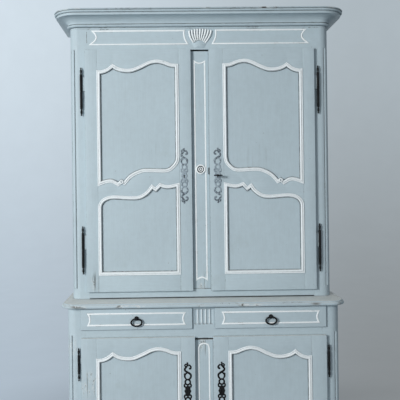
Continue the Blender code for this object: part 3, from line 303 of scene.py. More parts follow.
class Shader:
    """The node tree of a new material, or of a world, with short ways to add and join nodes.

    The colour is what the coats laid so far have made of it.
    """

    def __init__(self, name, world=None):
        self.material = world or bpy.data.materials.new(name)
        self.material.use_nodes = True
        self.tree = self.material.node_tree
        self.surface = self.tree.nodes["Background" if world else "Principled BSDF"]
        self.place = self.add("ShaderNodeTexCoord")["Object"]
        self.colour = None

    def feed(self, node, inputs):
        """Sets or joins the inputs of a node, which are named or numbered."""
        for socket, value in inputs.items():
            if isinstance(value, bpy.types.NodeSocket):
                self.tree.links.new(value, node.inputs[socket])
            else:
                node.inputs[socket].default_value = value

    def add(self, kind, inputs=None, **settings):
        """The outputs of a new node."""
        made = self.tree.nodes.new(kind)
        for key, value in settings.items():
            setattr(made, key, value)
        self.feed(made, inputs or {})
        return made.outputs

    def noise(self, scale, stretch=(1, 1, 1), detail=4.0, rough=0.55, twist=0.0):
        spread = self.add("ShaderNodeMapping", {"Vector": self.place, "Scale": stretch})["Vector"]
        look = {"Vector": spread, "Scale": scale, "Detail": detail, "Roughness": rough, "Distortion": twist}
        return self.add("ShaderNodeTexNoise", look)["Fac"]

    def spots(self, scale):
        """Distance from the nearest of many scattered points."""
        return self.add("ShaderNodeTexVoronoi", {"Vector": self.place, "Scale": scale})["Distance"]

    def between(self, value, low, high, start=0.0, end=1.0):
        """Value carried smoothly from the span low to high onto the span start to end."""
        spans = {"Value": value, "From Min": low, "From Max": high, "To Min": start, "To Max": end}
        return self.add("ShaderNodeMapRange", spans, interpolation_type="SMOOTHSTEP")["Result"]

    def patches(self, scale, low, high, most=1.0, detail=2.0, rough=0.55):
        """Scattered patches: 0 where a noise is under low, and most where it is over high."""
        return self.between(self.noise(scale, detail=detail, rough=rough), low, high, 0.0, most)

    def math(self, operation, first, *others):
        """The operation on the first value, with each of the others in turn."""
        for other in others or (0.0,):
            first = self.add("ShaderNodeMath", {0: first, 1: other}, operation=operation)[0]
        return first

    def times(self, *values):
        return self.math("MULTIPLY", *values)

    def mix(self, share, first, second):
        return self.add("ShaderNodeMix", {"Factor": share, 6: first, 7: second}, data_type="RGBA")[2]

    def coat(self, share, tint):
        """Lays a tint over the colour, where share is more than 0."""
        self.colour = self.mix(share, self.colour, tint)

    def tone(self, colour, share):
        """The colour made lighter or darker by a share round 1."""
        return self.add("ShaderNodeHueSaturation", {"Color": colour, "Value": share})["Color"]

    def axes(self, vector=None):
        """X, Y and Z of a vector, or of the place if none is given."""
        return self.add("ShaderNodeSeparateXYZ", {"Vector": vector or self.place})

    def edges(self, radius):
        """1 on an edge and 0 on flat ground."""
        soft = self.add("ShaderNodeBevel", {"Radius": radius}, samples=6)["Normal"]
        true = self.add("ShaderNodeNewGeometry")["Normal"]
        match = self.add("ShaderNodeVectorMath", {0: soft, 1: true}, operation="DOT_PRODUCT")["Value"]
        return self.between(match, 0.99, 0.80)

    def seen(self):
        """1 for rays that see the backdrop, straight or mirrored, and 0 for those that only carry light."""
        rays = self.add("ShaderNodeLightPath")
        kinds = ("Camera", "Glossy", "Transmission")
        return self.math("MAXIMUM", *(rays[f"Is {kind} Ray"] for kind in kinds))

    def upward(self):
        """1 on level ground and 0 on upright or sloping sides."""
        return self.between(self.axes(self.add("ShaderNodeNewGeometry")["Normal"])["Z"], 0.85, 0.98)

    def soil_and_shade_hollows(self, reach, share, tint, deep=0.40):
        """Soiling and painted shade in hollows, by how closed in they are, with near black painted shade at
        the bottom of deep grooves.
        """
        clear = self.add("ShaderNodeAmbientOcclusion", {"Distance": reach}, samples=6)["AO"]
        self.coat(self.between(clear, 0.85, 0.35, 0.0, share), tint)
        self.coat(self.between(clear, deep, 0.35 * deep, 0.0, 0.88), DEEP_SHADE)

    def from_level(self, height):
        """Distance up or down from a height above the floor."""
        return self.math("ABSOLUTE", self.math("SUBTRACT", self.axes()["Z"], height))

    def near_level(self, height, reach):
        """1 at a height above the floor, falling to 0 within reach of it."""
        return self.between(self.from_level(height), reach, 0.45 * reach)

    def length(self, first, second):
        """Length of the long side of a right angle with these two sides."""
        total = self.math("ADD", self.math("POWER", first, 2.0), self.math("POWER", second, 2.0))
        return self.math("SQRT", total)

    def near_place(self, x, height, reach):
        """1 at a place on the front, falling to 0 within reach of it, further up and down than across."""
        across = self.math("SUBTRACT", self.axes()["X"], x)
        far = self.length(across, self.times(self.from_level(height), 0.6))
        return self.between(far, reach, 0.3 * reach)

    def relief(self, height, depth, strength):
        bump = {"Height": height, "Distance": depth, "Strength": strength}
        self.feed(self.surface, {"Normal": self.add("ShaderNodeBump", bump)["Normal"]})

    def finish(self, roughness, specular=0.35):
        look = {"Base Color": self.colour, "Roughness": roughness, "Specular IOR Level": specular}
        self.feed(self.surface, look)
        return self.material


def grain(way, share):
    """How a pattern is stretched: level wood lies along X, deep wood along Y and upright wood along Z."""
    return tuple(share if way == axis else 1.0 for axis in ("level", "deep", "upright"))


def painted_wood(name, way, colour=PAINT, worn_levels=(), gap_shade_level=None, scuffs=()):
    """Brushed chalky paint over wood, with strokes that run one way.

    Worn levels are heights whose edge is badly chipped, and at the gap shade level a dark line is painted as
    the shade of the gap between the cases.
    Scuffs are places on the front that are cracked and rubbed.
    """
    made = Shader(name)
    clouds = made.noise(2.2, detail=3.0)
    strokes = made.noise(240.0, grain(way, 0.045), 3.0, 0.6)
    mottle = made.noise(38.0, detail=5.0, rough=0.65)
    level = 1.0
    for pattern, sway in ((clouds, 0.035), (strokes, 0.025), (mottle, 0.030)):
        level = made.math("ADD", level, made.between(pattern, 0.25, 0.75, -sway, sway))
    made.colour = made.tone(colour, level)
    made.coat(made.patches(5.0, 0.56, 0.74, 0.40, 6.0, 0.7), RUBBED_PAINT)
    # Level tops take a pale coat that is dust and also painted light
    made.coat(made.times(made.upward(), made.between(mottle, 0.25, 0.75, 0.55, 0.85)), DUST_AND_TOP_LIGHT)
    # Soiling and painted shade in hollows, darkest in deep grooves
    made.soil_and_shade_hollows(0.009, 0.60, GRIME_AND_SHADE)
    chip = chipped(made, worn_levels)
    # A dark line painted at the gap between the two cases, as the gap's shade
    if gap_shade_level is not None:
        gap_shade = made.between(clouds, 0.30, 0.55, 0.55, 0.92)
        made.coat(made.times(made.near_level(gap_shade_level, 0.0075), gap_shade), DEEP_SHADE)
    crack = cracked(made, way, scuffs)
    height = made.math("ADD", strokes, made.times(mottle, 0.6))
    height = made.math("SUBTRACT", height, made.times(made.math("ADD", chip, crack), 1.5))
    made.relief(height, 0.0005, 0.50)
    return made.finish(made.between(mottle, 0.2, 0.8, 0.52, 0.74))


def chipped(made, worn_levels):
    """Paint worn to its undercoat along edges and chipped down to old wood, most of all at worn levels."""
    edge = made.edges(0.0045)
    made.coat(made.times(made.patches(30.0, 0.46, 0.62, 0.55, 6.0, 0.7), edge), UNDERCOAT)
    chip = made.times(made.patches(36.0, 0.52, 0.57, 1.0, 5.0, 0.6), made.patches(5.0, 0.50, 0.58), edge)
    flakes = made.noise(30.0, (0.45, 1.0, 1.0), rough=0.6)
    places = made.patches(4.5, 0.50, 0.60)
    for height, reach in worn_levels:
        band = made.times(places, made.near_level(height, reach))
        made.coat(made.times(made.between(flakes, 0.45, 0.50, 0.0, 0.8), band), UNDERCOAT)
        chip = made.math("MAXIMUM", chip, made.times(made.between(flakes, 0.53, 0.57), band))
    made.coat(chip, OLD_WOOD)
    return chip


def cracked(made, way, scuffs):
    """Fine cracks along the grain, scuffed places and specks of soiling."""
    lines = made.math("ABSOLUTE", made.math("SUBTRACT", made.noise(34.0, grain(way, 0.02), 2.0), 0.5))
    share = made.patches(3.6, 0.66, 0.74, 0.40, 3.0)
    rub = made.noise(80.0, (1.0, 1.0, 0.4), rough=0.65)
    for scuff in scuffs:
        near = made.near_place(*scuff)
        share = made.math("MAXIMUM", share, made.times(near, 0.85))
        made.coat(made.times(near, made.between(rub, 0.48, 0.58, 0.0, 0.70)), UNDERCOAT)
        made.coat(made.times(near, made.between(rub, 0.60, 0.63, 0.0, 0.85)), GRIME_AND_SHADE)
    crack = made.times(made.between(lines, 0.012, 0.004), share)
    made.coat(crack, GRIME_AND_SHADE)
    specks = made.between(made.spots(34.0), 0.10, 0.05)
    made.coat(made.times(specks, made.patches(9.0, 0.58, 0.66, 0.60)), GRIME_AND_SHADE)
    return crack


def white_line(name, white, wear):
    """White paint, rubbed thin in places so that the grey shows through."""
    made = Shader(name)
    mottle = made.noise(60.0, detail=5.0, rough=0.65)
    made.colour = made.tone(white, made.between(mottle, 0.25, 0.75, 0.96, 1.04))
    made.coat(made.patches(26.0, 0.62 - wear, 0.76 - wear, 0.65, 6.0, 0.72), RUBBED_WHITE)
    # Soiling and painted shade in the hollows of the mouldings
    made.soil_and_shade_hollows(0.006, 0.14, GRIME_AND_SHADE, 0.28)
    chip = made.times(made.patches(80.0, 0.68, 0.73, 1.0, 5.0, 0.6), made.patches(7.0, 0.58, 0.66, 0.60))
    made.coat(chip, CHIPPED_WHITE)
    made.relief(made.math("SUBTRACT", mottle, chip), 0.0004, 0.5)
    return made.finish(made.between(mottle, 0.2, 0.8, 0.42, 0.62))


def black_iron(name):
    """Forged iron under old black paint, with rubbed edges and a breath of rust."""
    made = Shader(name)
    dents = made.noise(160.0, detail=3.0)
    patches = made.noise(28.0, detail=5.0, rough=0.6)
    made.colour = made.mix(made.between(patches, 0.35, 0.70), srgb(13, 15, 17), srgb(27, 29, 31))
    made.coat(made.patches(70.0, 0.62, 0.76, 0.45, 6.0, 0.7), srgb(44, 36, 31))
    rubbed = made.times(made.edges(0.0012), made.between(patches, 0.40, 0.62, 0.0, 0.30))
    made.coat(rubbed, srgb(74, 77, 80))
    made.relief(made.math("ADD", dents, patches), 0.0006, 0.45)
    return made.finish(made.between(patches, 0.3, 0.7, 0.52, 0.72), 0.14)


def painted_iron(name):
    """Iron painted over with the door, rubbed back to black along its edges and towards its tips."""
    made = Shader(name)
    tip = made.between(made.from_level(LOCK_Z), 0.02, 0.11, -0.09, 0.05)
    patches = made.noise(45.0, detail=5.0, rough=0.62)
    made.colour = made.mix(made.between(patches, 0.30, 0.70), srgb(132, 147, 158), srgb(168, 184, 194))
    bare = made.math("ADD", made.noise(110.0, detail=5.0, rough=0.68), tip)
    bare = made.between(bare, 0.46, 0.58, 0.0, 0.85)
    made.coat(bare, srgb(66, 74, 84))
    edge = made.times(made.edges(0.0010), made.between(patches, 0.35, 0.60, 0.0, 0.5))
    made.coat(edge, srgb(70, 77, 85))
    # Soiling and painted shade in the hollows of the ironwork
    made.soil_and_shade_hollows(0.005, 0.55, srgb(80, 88, 94))
    made.relief(made.math("SUBTRACT", patches, bare), 0.0005, 0.5)
    return made.finish(made.between(patches, 0.3, 0.7, 0.48, 0.66), 0.3)


def bare_wood(name, way):
    """Old unpainted pine: growth rings stretched along the board, darker latewood, pores and grey age."""
    made = Shader(name)
    stretch = grain(way, 0.06)
    wander = made.noise(9.0, stretch, rough=0.5, twist=1.2)
    late = made.between(made.math("FRACT", made.times(wander, 11.0)), 0.55, 0.98)
    pores = made.noise(420.0, stretch, detail=2.0)
    made.colour = made.mix(late, srgb(176, 146, 108), srgb(138, 104, 70))
    made.coat(made.between(pores, 0.50, 0.72, 0.0, 0.45), srgb(112, 84, 58))
    made.coat(made.patches(3.5, 0.40, 0.75, 0.55, 5.0, 0.6), srgb(120, 100, 80))
    # Soiling and painted shade in the corners inside the case
    made.soil_and_shade_hollows(0.03, 0.55, srgb(74, 60, 48))
    made.relief(made.math("SUBTRACT", made.times(pores, 0.5), late), 0.0004, 0.4)
    return made.finish(made.between(pores, 0.3, 0.7, 0.55, 0.78), 0.3)


# Planes and places that follow from the frame
UPPER_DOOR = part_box("upper_door_frame_left")
LOWER_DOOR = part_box("lower_door_frame_left")
TOP_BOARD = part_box("buffet_top")
GROOVE_WALL = 0.0069
CASE_FACE = {
    "upper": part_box("upper_door_tall_panel_left")[0].y - GROOVE_WALL + DOOR_PROUD,
    "lower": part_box("lower_door_panel_left")[0].y - GROOVE_WALL + DOOR_PROUD,
}
DRAWER_FRONT = CASE_FACE["lower"] - DRAWER_PROUD
plate_low, plate_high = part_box("upper_escutcheon_left")
LOCK_Z = (plate_low.z + plate_high.z) / 2
ROSETTE_Z = LOCK_Z + 0.031
POST_BEAD = {
    "upper": (UPPER_DOOR[0].z + 0.018, UPPER_DOOR[1].z),
    "lower": (LOWER_DOOR[0].z, LOWER_DOOR[1].z + 0.008),
}

# White line on each centre post: half its width, its lower and its upper end
CENTRE_LINE = {
    "upper": (0.0255, UPPER_DOOR[0].z + 0.052, UPPER_DOOR[1].z - 0.058),
    "lower": (0.0248, LOWER_DOOR[0].z + 0.038, LOWER_DOOR[1].z - 0.034),
}

# Rubbed places on the front: x, height and reach
SCUFFS = [
    (0.002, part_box("upper_centre_post")[0].z + 0.026, 0.034),
    (0.002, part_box("lower_centre_post")[1].z - 0.034, 0.036),
    (UPPER_DOOR[0].x + 0.050, UPPER_DOOR[0].z + 0.045, 0.042),
    (LOWER_DOOR[0].x + 0.036, LOWER_DOOR[1].z - 0.215, 0.050),
    (LOWER_DOOR[0].x - 0.049, LOWER_DOOR[1].z - 0.040, 0.036),
]

# Chipped edges of the buffet top and of the cornice: height and reach
CHIPPED_EDGES = [(TOP_BOARD[0].z + 0.009, 0.0075), (cad_high.z - 0.003, 0.0065)]

UPRIGHT_PAINT = painted_wood("paint_upright", "upright", scuffs=SCUFFS)
# The level paint has a dark line painted at the gap between the cases, as its shade
LEVEL_PAINT = painted_wood("paint_level", "level", gap_shade_level=TOP_BOARD[1].z)
LEDGE_PAINT = painted_wood("paint_ledge", "level", worn_levels=CHIPPED_EDGES)
# Dark paint on the foot of the mouldings, as a painted shade line on the panels
FOOT_SHADE_PAINT = painted_wood("painted_foot_shade", "upright", FOOT_SHADE)
WHITE_PAINT = white_line("white_moulding", WHITE, 0.02)
THIN_WHITE = white_line("white_thin_line", LINE_WHITE, 0.03)
IRON = black_iron("black_iron")
PAINTED_IRON = painted_iron("painted_iron")
BARE_LEVEL = bare_wood("pine_level", "level")
BARE_UPRIGHT = bare_wood("pine_upright", "upright")
BARE_DEEP = bare_wood("pine_deep", "deep")


def on_front(a, b, h):
    """A point of a front outline, h in front of the plane y = 0."""
    return (a, -h, b)


def on_plan(a, b, h):
    """A point of a plan outline at height h."""
    return (a, b, h)


def facing_front(x, y, z):
    """Stands a turned shape at a place with its height axis towards the front."""
    return Matrix.Translation((x, y, z)) @ Matrix.Rotation(math.pi / 2, 4, "X")


def smooth_run(knots, pitch=PITCH):
    """Points of a smooth curve through the knots. Two knots make a straight line."""
    points = [Vector(knot) for knot in knots]
    if len(points) == 2:
        return points
    ends = [points[0] * 2 - points[1]] + points + [points[-1] * 2 - points[-2]]
    made = [points[0]]
    for before, start, end, after in zip(ends, points, points[1:], ends[3:]):
        steps = max(1, round((end - start).length / pitch))
        for k in range(1, steps + 1):
            t = k / steps
            bend = (before * -1 + start * 3 - end * 3 + after) * t**3
            bend += (before * 2 - start * 5 + end * 4 - after) * t**2
            bend += (end - before) * t + start * 2
            made.append(bend / 2)
    return made


def chained(runs, pitch=PITCH):
    """Smooth runs that each start at the last knot of the one before."""
    starts = [[]] + [run[-1:] for run in runs]
    return [smooth_run(start + run, pitch) for start, run in zip(starts, runs)]


def joined(runs):
    return runs[0] + [point for run in runs[1:] for point in run[1:]]


def arc(centre, radius, start, end, steps):
    made = []
    for i in range(steps + 1):
        turn = math.radians(start + (end - start) * i / steps)
        made.append(Vector((centre[0] + radius * math.cos(turn), centre[1] + radius * math.sin(turn))))
    return made


def oval(x, y, half_wide, half_tall, steps):
    """Points round an oval, from its right-hand end."""
    turns = [2 * math.pi * i / steps for i in range(steps)]
    return [Vector((x + half_wide * math.cos(turn), y + half_tall * math.sin(turn))) for turn in turns]


def soft_bow(share):
    return math.sin(math.pi * share)


def round_bow(share):
    return math.sqrt(max(0.0, 1 - (2 * share - 1) ** 2))


def bowed(start, end, bow, steps, shape=soft_bow):
    """Points from start to end, moved by up to bow in the middle."""
    start, end, bow = Vector(start), Vector(end), Vector(bow)
    return [start.lerp(end, i / steps) + bow * shape(i / steps) for i in range(steps + 1)]


def rectangle(x0, x1, z0, z1):
    return [Vector(corner) for corner in ((x0, z0), (x1, z0), (x1, z1), (x0, z1))]


def leans(path, closed):
    """The mitred sideways step at each point of a path, to the left of its way."""
    ways = [(after - here).normalized() for here, after in zip(path, path[1:] + path[:1])]
    if not closed:
        ways[-1] = ways[-2]
    steps = [Vector((-way.y, way.x)) for way in ways]
    made = []
    for i, step in enumerate(steps):
        before = steps[i - 1] if closed or i else step
        made.append((before + step) / max(0.25, 1.0 + before.dot(step)))
    return made


def moved(path, gap, closed):
    """The path moved by gap to the left of its way."""
    return [point + lean * gap for point, lean in zip(path, leans(path, closed))]


def anticlockwise(loop):
    area = sum(here.cross(after) for here, after in zip(loop, loop[1:] + loop[:1]))
    return loop if area > 0 else loop[::-1]


def crossing(a, b, c, d):
    """Shares along the lines a-b and c-d of the point where they cross."""
    spread = (b - a).cross(d - c)
    if abs(spread) < 1e-14:
        return None
    return (c - a).cross(d - c) / spread, (c - a).cross(b - a) / spread


def meet(first, second):
    """Trims two runs where they cross, or carries their ends on to the point where they would."""
    reach = 40
    for i in range(len(first) - 2, max(-1, len(first) - reach), -1):
        for j in range(min(len(second) - 1, reach)):
            shares = crossing(first[i], first[i + 1], second[j], second[j + 1])
            if shares and 0 <= shares[0] <= 1 and 0 <= shares[1] <= 1:
                point = first[i].lerp(first[i + 1], shares[0])
                return first[: i + 1] + [point], [point] + second[j + 1 :]
    shares = crossing(first[-2], first[-1], second[0], second[1])
    point = first[-2].lerp(first[-1], shares[0]) if shares else (first[-1] + second[0]) / 2
    return first[:-1] + [point], [point] + second[1:]


def evenly(run, count):
    """The run shared out into count points at even distances."""
    lengths = [0.0]
    for here, after in zip(run, run[1:]):
        lengths.append(lengths[-1] + (after - here).length)
    made = []
    k = 0
    for i in range(count):
        want = lengths[-1] * i / (count - 1)
        while k < len(run) - 2 and lengths[k + 1] < want:
            k += 1
        span = lengths[k + 1] - lengths[k]
        made.append(run[k].lerp(run[k + 1], (want - lengths[k]) / span if span else 0.0))
    return made


def add_object(name, data):
    """A new object in the scene."""
    made = bpy.data.objects.new(name, data)
    bpy.context.scene.collection.objects.link(made)
    return made


class Form:
    """Points and faces of one piece, gathered from simple shapes. Each face has the number of its paint."""

    def __init__(self):
        self.points = []
        self.faces = []
        self.paints = []

    def cover(self, faces, paint):
        self.faces += faces
        self.paints += [paint] * len(faces)

    def loft(self, rings, paint=0, ring_closed=True, run_closed=False, caps=True):
        """A skin over rings of points. Paint is one number, or a list with one for each side of a ring."""
        start = len(self.points)
        wide = len(rings[0])
        paints = paint if isinstance(paint, list) else [paint] * wide
        for ring in rings:
            self.points += [tuple(point) for point in ring]
        for i in range(len(rings) if run_closed else len(rings) - 1):
            here = start + i * wide
            after = start + (i + 1) % len(rings) * wide
            for k in range(wide if ring_closed else wide - 1):
                side = (k + 1) % wide
                self.cover([(here + k, here + side, after + side, after + k)], paints[k])
        if not caps or run_closed:
            return
        for first in (start, start + (len(rings) - 1) * wide):
            far = first + wide - 1
            strip = [(first + k, first + k + 1, far - k - 1, far - k) for k in range(wide // 2 - 1)]
            self.cover(strip if caps == "strip" else [tuple(range(first, far + 1))], paints[0])

    def stack(self, outline, levels, place, paint=0, caps=True):
        """An outline carried through levels, each a distance in from it and a height."""
        outline = anticlockwise(outline)
        rings = [[place(p.x, p.y, level) for p in moved(outline, gap, True)] for gap, level in levels]
        self.loft(rings, paint, caps=caps)

    def slab(self, outline, low, high, low_round, high_round, place, paint=0, steps=3, caps=True):
        """An outline given thickness from low to high, with both rims rounded."""
        levels = []
        for level, rim, way in ((low, low_round, 1), (high, high_round, -1)):
            turns = [i / steps * math.pi / 2 for i in range(steps + 1)] if rim else [0.0]
            spans = [(rim * (1 - math.cos(t)), level + way * rim * (1 - math.sin(t))) for t in turns]
            levels += spans[::-1] if way > 0 else spans
        self.stack(outline, levels, place, paint, caps)

    def sweep(self, path, section, place, closed, paint=0):
        """A section carried along a flat path."""
        self.sweep_each(path, [section] * len(path), place, closed, paint)

    def sweep_each(self, path, sections, place, closed, paint=0):
        """A section for each point of a flat path, joined along it."""
        rings = []
        for point, lean, section in zip(path, leans(path, closed), sections):
            rings.append([place(*(point + lean * u), h) for u, h in section])
        self.loft(rings, paint, run_closed=closed)

    def lathe(self, section, steps, place, paint=0):
        """A section of radius and height turned round the height axis."""
        rings = []
        for way in oval(0.0, 0.0, 1.0, 1.0, steps):
            rings.append([place @ Vector((r * way.x, r * way.y, h)) for r, h in section])
        self.loft(rings, paint, ring_closed=False, run_closed=True)

    def carved(self, across, along, surface, paint):
        """A carved skin with points surface(u, v) and paints paint(u)."""
        rings = [[surface(i / across, k / along) for i in range(across + 1)] for k in range(along + 1)]
        self.loft(rings, [paint((i + 0.5) / across) for i in range(across)], ring_closed=False, caps=False)

    def box(self, x, y, z, rim, paint=0):
        self.slab(rectangle(*x, *y), z[0], z[1], rim, rim, on_plan, paint, 2)

    def mesh(self, name, paints, mirror=False):
        """A smooth mesh of these points and faces."""
        made = bpy.data.meshes.new(name)
        points = [(-x, y, z) for x, y, z in self.points] if mirror else self.points
        made.from_pydata(points, [], self.faces)
        for paint in paints:
            made.materials.append(paint)
        made.polygons.foreach_set("material_index", self.paints)
        made.polygons.foreach_set("use_smooth", [True] * len(made.polygons))
        return made

    def piece(self, name, paints, replaced=(), mirror=False, sharp=38, body="carcass", slot="painted_wood"):
        """A welded piece that rides on a body. Edges that bend by more than sharp degrees stay sharp."""
        mesh = self.mesh(name, paints, mirror)
        work = bmesh.new()
        work.from_mesh(mesh)
        bmesh.ops.remove_doubles(work, verts=work.verts, dist=0.00001)
        bmesh.ops.recalc_face_normals(work, faces=work.faces)
        work.to_mesh(mesh)
        work.free()
        mesh.set_sharp_from_angle(angle=math.radians(sharp))
        made = add_object(name, mesh)
        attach(made, body)
        if replaced:
            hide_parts(*replaced)


def carved_runs(runs, x_hinge, x_lock, level):
    wide = x_lock - x_hinge
    return chained([[(x_hinge + share * wide, level + rise) for share, rise in run] for run in runs])


def panel_runs(x_hinge, x_lock, low, high, bottom, top):
    """The outer edge of a panel's moulding on a left-hand door, in runs between its corners."""
    under = carved_runs(bottom, x_hinge, x_lock, low)
    over = [run[::-1] for run in carved_runs(top, x_hinge, x_lock, high)[::-1]]
    lock_side = [under[-1][-1], over[0][0]]
    hinge_side = [over[-1][-1], under[0][0]]
    return under + [lock_side] + over + [hinge_side]


def moved_runs(runs, gap):
    """The runs moved inward by gap and trimmed to each other."""
    made = [moved(run, gap, False) for run in runs]
    for i in range(len(made)):
        after = (i + 1) % len(made)
        made[i], made[after] = meet(made[i], made[after])
    return made


def mould(form, runs, front):
    """The moulding carried along the runs, with mitred corners."""
    counts = []
    for run in runs:
        length = sum((after - here).length for here, after in zip(run, run[1:]))
        counts.append(max(3, round(length / PITCH)) if len(run) > 2 else 4)
    columns = []
    for gap, height in MOULDING:
        column = []
        for run, count in zip(moved_runs(runs, gap), counts):
            column += [(point.x, front - height, point.y) for point in evenly(run, count)[:-1]]
        columns.append(column)
    form.loft(list(zip(*columns)), MOULDING_PAINTS, run_closed=True)


def door_layout(level, side):
    """The hinge and lock edge of a door's panels, then the bottom, top and carved edges of each panel."""
    low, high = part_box(f"{level}_door_frame_left")
    x_hinge = low.x + STILES[level][0]
    x_lock = high.x - STILES[level][1]
    if side == "right":
        x_lock -= RIGHT_STILE_MORE[level]
    if level == "lower":
        return x_hinge, x_lock, [(low.z + LOWER_RAILS[0], high.z - LOWER_RAILS[1], STRAIGHT, CRESTED_TOP)]
    tall = high.z - low.z
    edged = [(*TALL_PANEL, SCROLLED_BOTTOM, CRESTED_TOP), (*SHORT_PANEL, STRAIGHT, SCROLLED_TOP)]
    panels = [(high.z - down * tall, high.z - up * tall, *edges) for down, up, *edges in edged]
    return x_hinge, x_lock, panels


def door_wood(level, x_hinge, x_lock, panels):
    """A door's stiles and rails with their seams: lips in front, and the body behind them."""
    low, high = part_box(f"{level}_door_frame_left")
    face = CASE_FACE[level]
    front = face - DOOR_PROUD
    back = face + BODY_DEEP
    body_z = (low.z + LIP_IN_END, high.z - LIP_IN_END)
    form = Form()
    hinge_stile = (low.x, x_hinge), (low.x + LIP_IN_HINGE, x_hinge)
    lock_stile = (x_lock, high.x + LOCK_LIP_MORE[level]), (x_lock, high.x - LIP_IN_LOCK)
    for lip, body in (hinge_stile, lock_stile):
        form.slab(rectangle(*lip, low.z, high.z), -face, -front, 0.0, EDGE_ROUND, on_front)
        form.slab(rectangle(*body, *body_z), -back, -face, EDGE_ROUND, 0.0, on_front)
    ends = [[Vector((x_hinge, high.z)), Vector((x_lock, high.z))]]
    for bottom, top, under, over in panels:
        ends.append(joined(carved_runs(over, x_hinge, x_lock, top)))
        ends.append(joined(carved_runs(under, x_hinge, x_lock, bottom)))
    ends.append([Vector((x_hinge, low.z)), Vector((x_lock, low.z))])
    for over, under in zip(ends[::2], ends[1::2]):
        count = max(len(over), len(under))
        outline = evenly(under, count) + evenly(over, count)[::-1]
        form.slab(outline, -face, -front, 0.0, EDGE_ROUND, on_front, 1, caps="strip")
        inner = [Vector((p.x, min(max(p.y, body_z[0]), body_z[1]))) for p in outline]
        form.slab(inner, -back, -face, EDGE_ROUND, 0.0, on_front, 1, caps="strip")
    return form


def door(level, side, mirror):
    """A door's wood, and the white mouldings round its panels."""
    x_hinge, x_lock, panels = door_layout(level, side)
    front = CASE_FACE[level] - DOOR_PROUD
    body = f"{level}_door_{side}"
    node = [f"{level}_door_frame_{side}"]
    wood = door_wood(level, x_hinge, x_lock, panels)
    wood.piece(f"{level}_door_stiles_rails_{side}", [UPRIGHT_PAINT, LEVEL_PAINT], node, mirror, body=body)
    lines = Form()
    for bottom, top, under, over in panels:
        mould(lines, panel_runs(x_hinge, x_lock, bottom, top, under, over), front)
        if under is SCROLLED_BOTTOM:
            share, rise = SCROLL_EYE
            scroll_eye(lines, facing_front(x_hinge + share * (x_lock - x_hinge), front, bottom + rise))
    # The second paint darkens the scroll eyes' hollow middles and the third the mouldings' foot, both as
    # painted shade
    paints = [WHITE_PAINT, PAINTED_IRON, FOOT_SHADE_PAINT]
    lines.piece(f"{level}_door_mouldings_{side}", paints, node, mirror, body=body)


def scroll_eye(form, place):
    """The small turned eye where the moulding of the tall panel curls, its hollow middle painted dark as
    painted shade.
    """
    section = [(0.0, 0.0030), (0.0030, 0.0030), (0.0040, 0.0070), (0.0054, 0.0098), (0.0074, 0.0104),
               (0.0094, 0.0090), (0.0106, 0.0050), (0.0108, -0.006)]
    # The hollow middle takes the second, dark paint, as painted shade
    form.lathe(section, TURN_STEPS, place, [1, 1, 0, 0, 0, 0, 0])


def hinge(level, at, side, mirror):
    """A pin hinge with vase finials: the lower half is on the case, and the upper half on the door."""
    pin = f"{level}_{at}_hinge_left_pin"
    knuckle = f"{level}_{at}_hinge_left_knuckle"
    pin_low, pin_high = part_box(pin)
    top_low, top_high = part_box(knuckle)
    x = top_low.x + BARREL_R
    y = top_low.y + BARREL_R
    middle = (pin_low.z + top_high.z) / 2
    half = (top_high.z - pin_low.z) / 2
    girth = BARREL_SHOWN[level]
    waist = girth - 0.0008
    finial = [tuple(p) for p in smooth_run(FINIAL_KNOB, 0.001) + smooth_run(FINIAL_VASE, 0.0015)[1:]]
    finial += [(0.0032, 0.0325), (girth, 0.0345), (girth, 0.037), (waist, 0.0385), (girth, FINIAL)]
    section = [(r, half - drop) for r, drop in finial]
    section += [(girth, 0.0015), (waist, HINGE_SEAM), (0.0, HINGE_SEAM)]
    behind = y + girth
    halves = [
        ("door", 1, f"{level}_door_{side}", knuckle, (x, top_high.x), (behind - 2 * LEAF_HALF, behind)),
        ("case", -1, "carcass", pin, (x - LEAF_HALF, x + LEAF_HALF), (y, pin_high.y)),
    ]
    for owner, way, body, node, leaf_x, leaf_y in halves:
        form = Form()
        form.lathe(section, TURN_STEPS, Matrix.Translation((x, y, middle)) @ Matrix.Scale(way, 4, (0, 0, 1)))
        leaf_z = sorted(middle + way * rise for rise in (0.004, half - FINIAL - 0.006))
        form.box(leaf_x, leaf_y, leaf_z, 0.0004, 1)
        form.piece(f"{level}_{at}_hinge_{side}_{owner}_half", [IRON, UPRIGHT_PAINT],
                   [node.replace("left", side)], mirror, body=body, slot="black_iron")


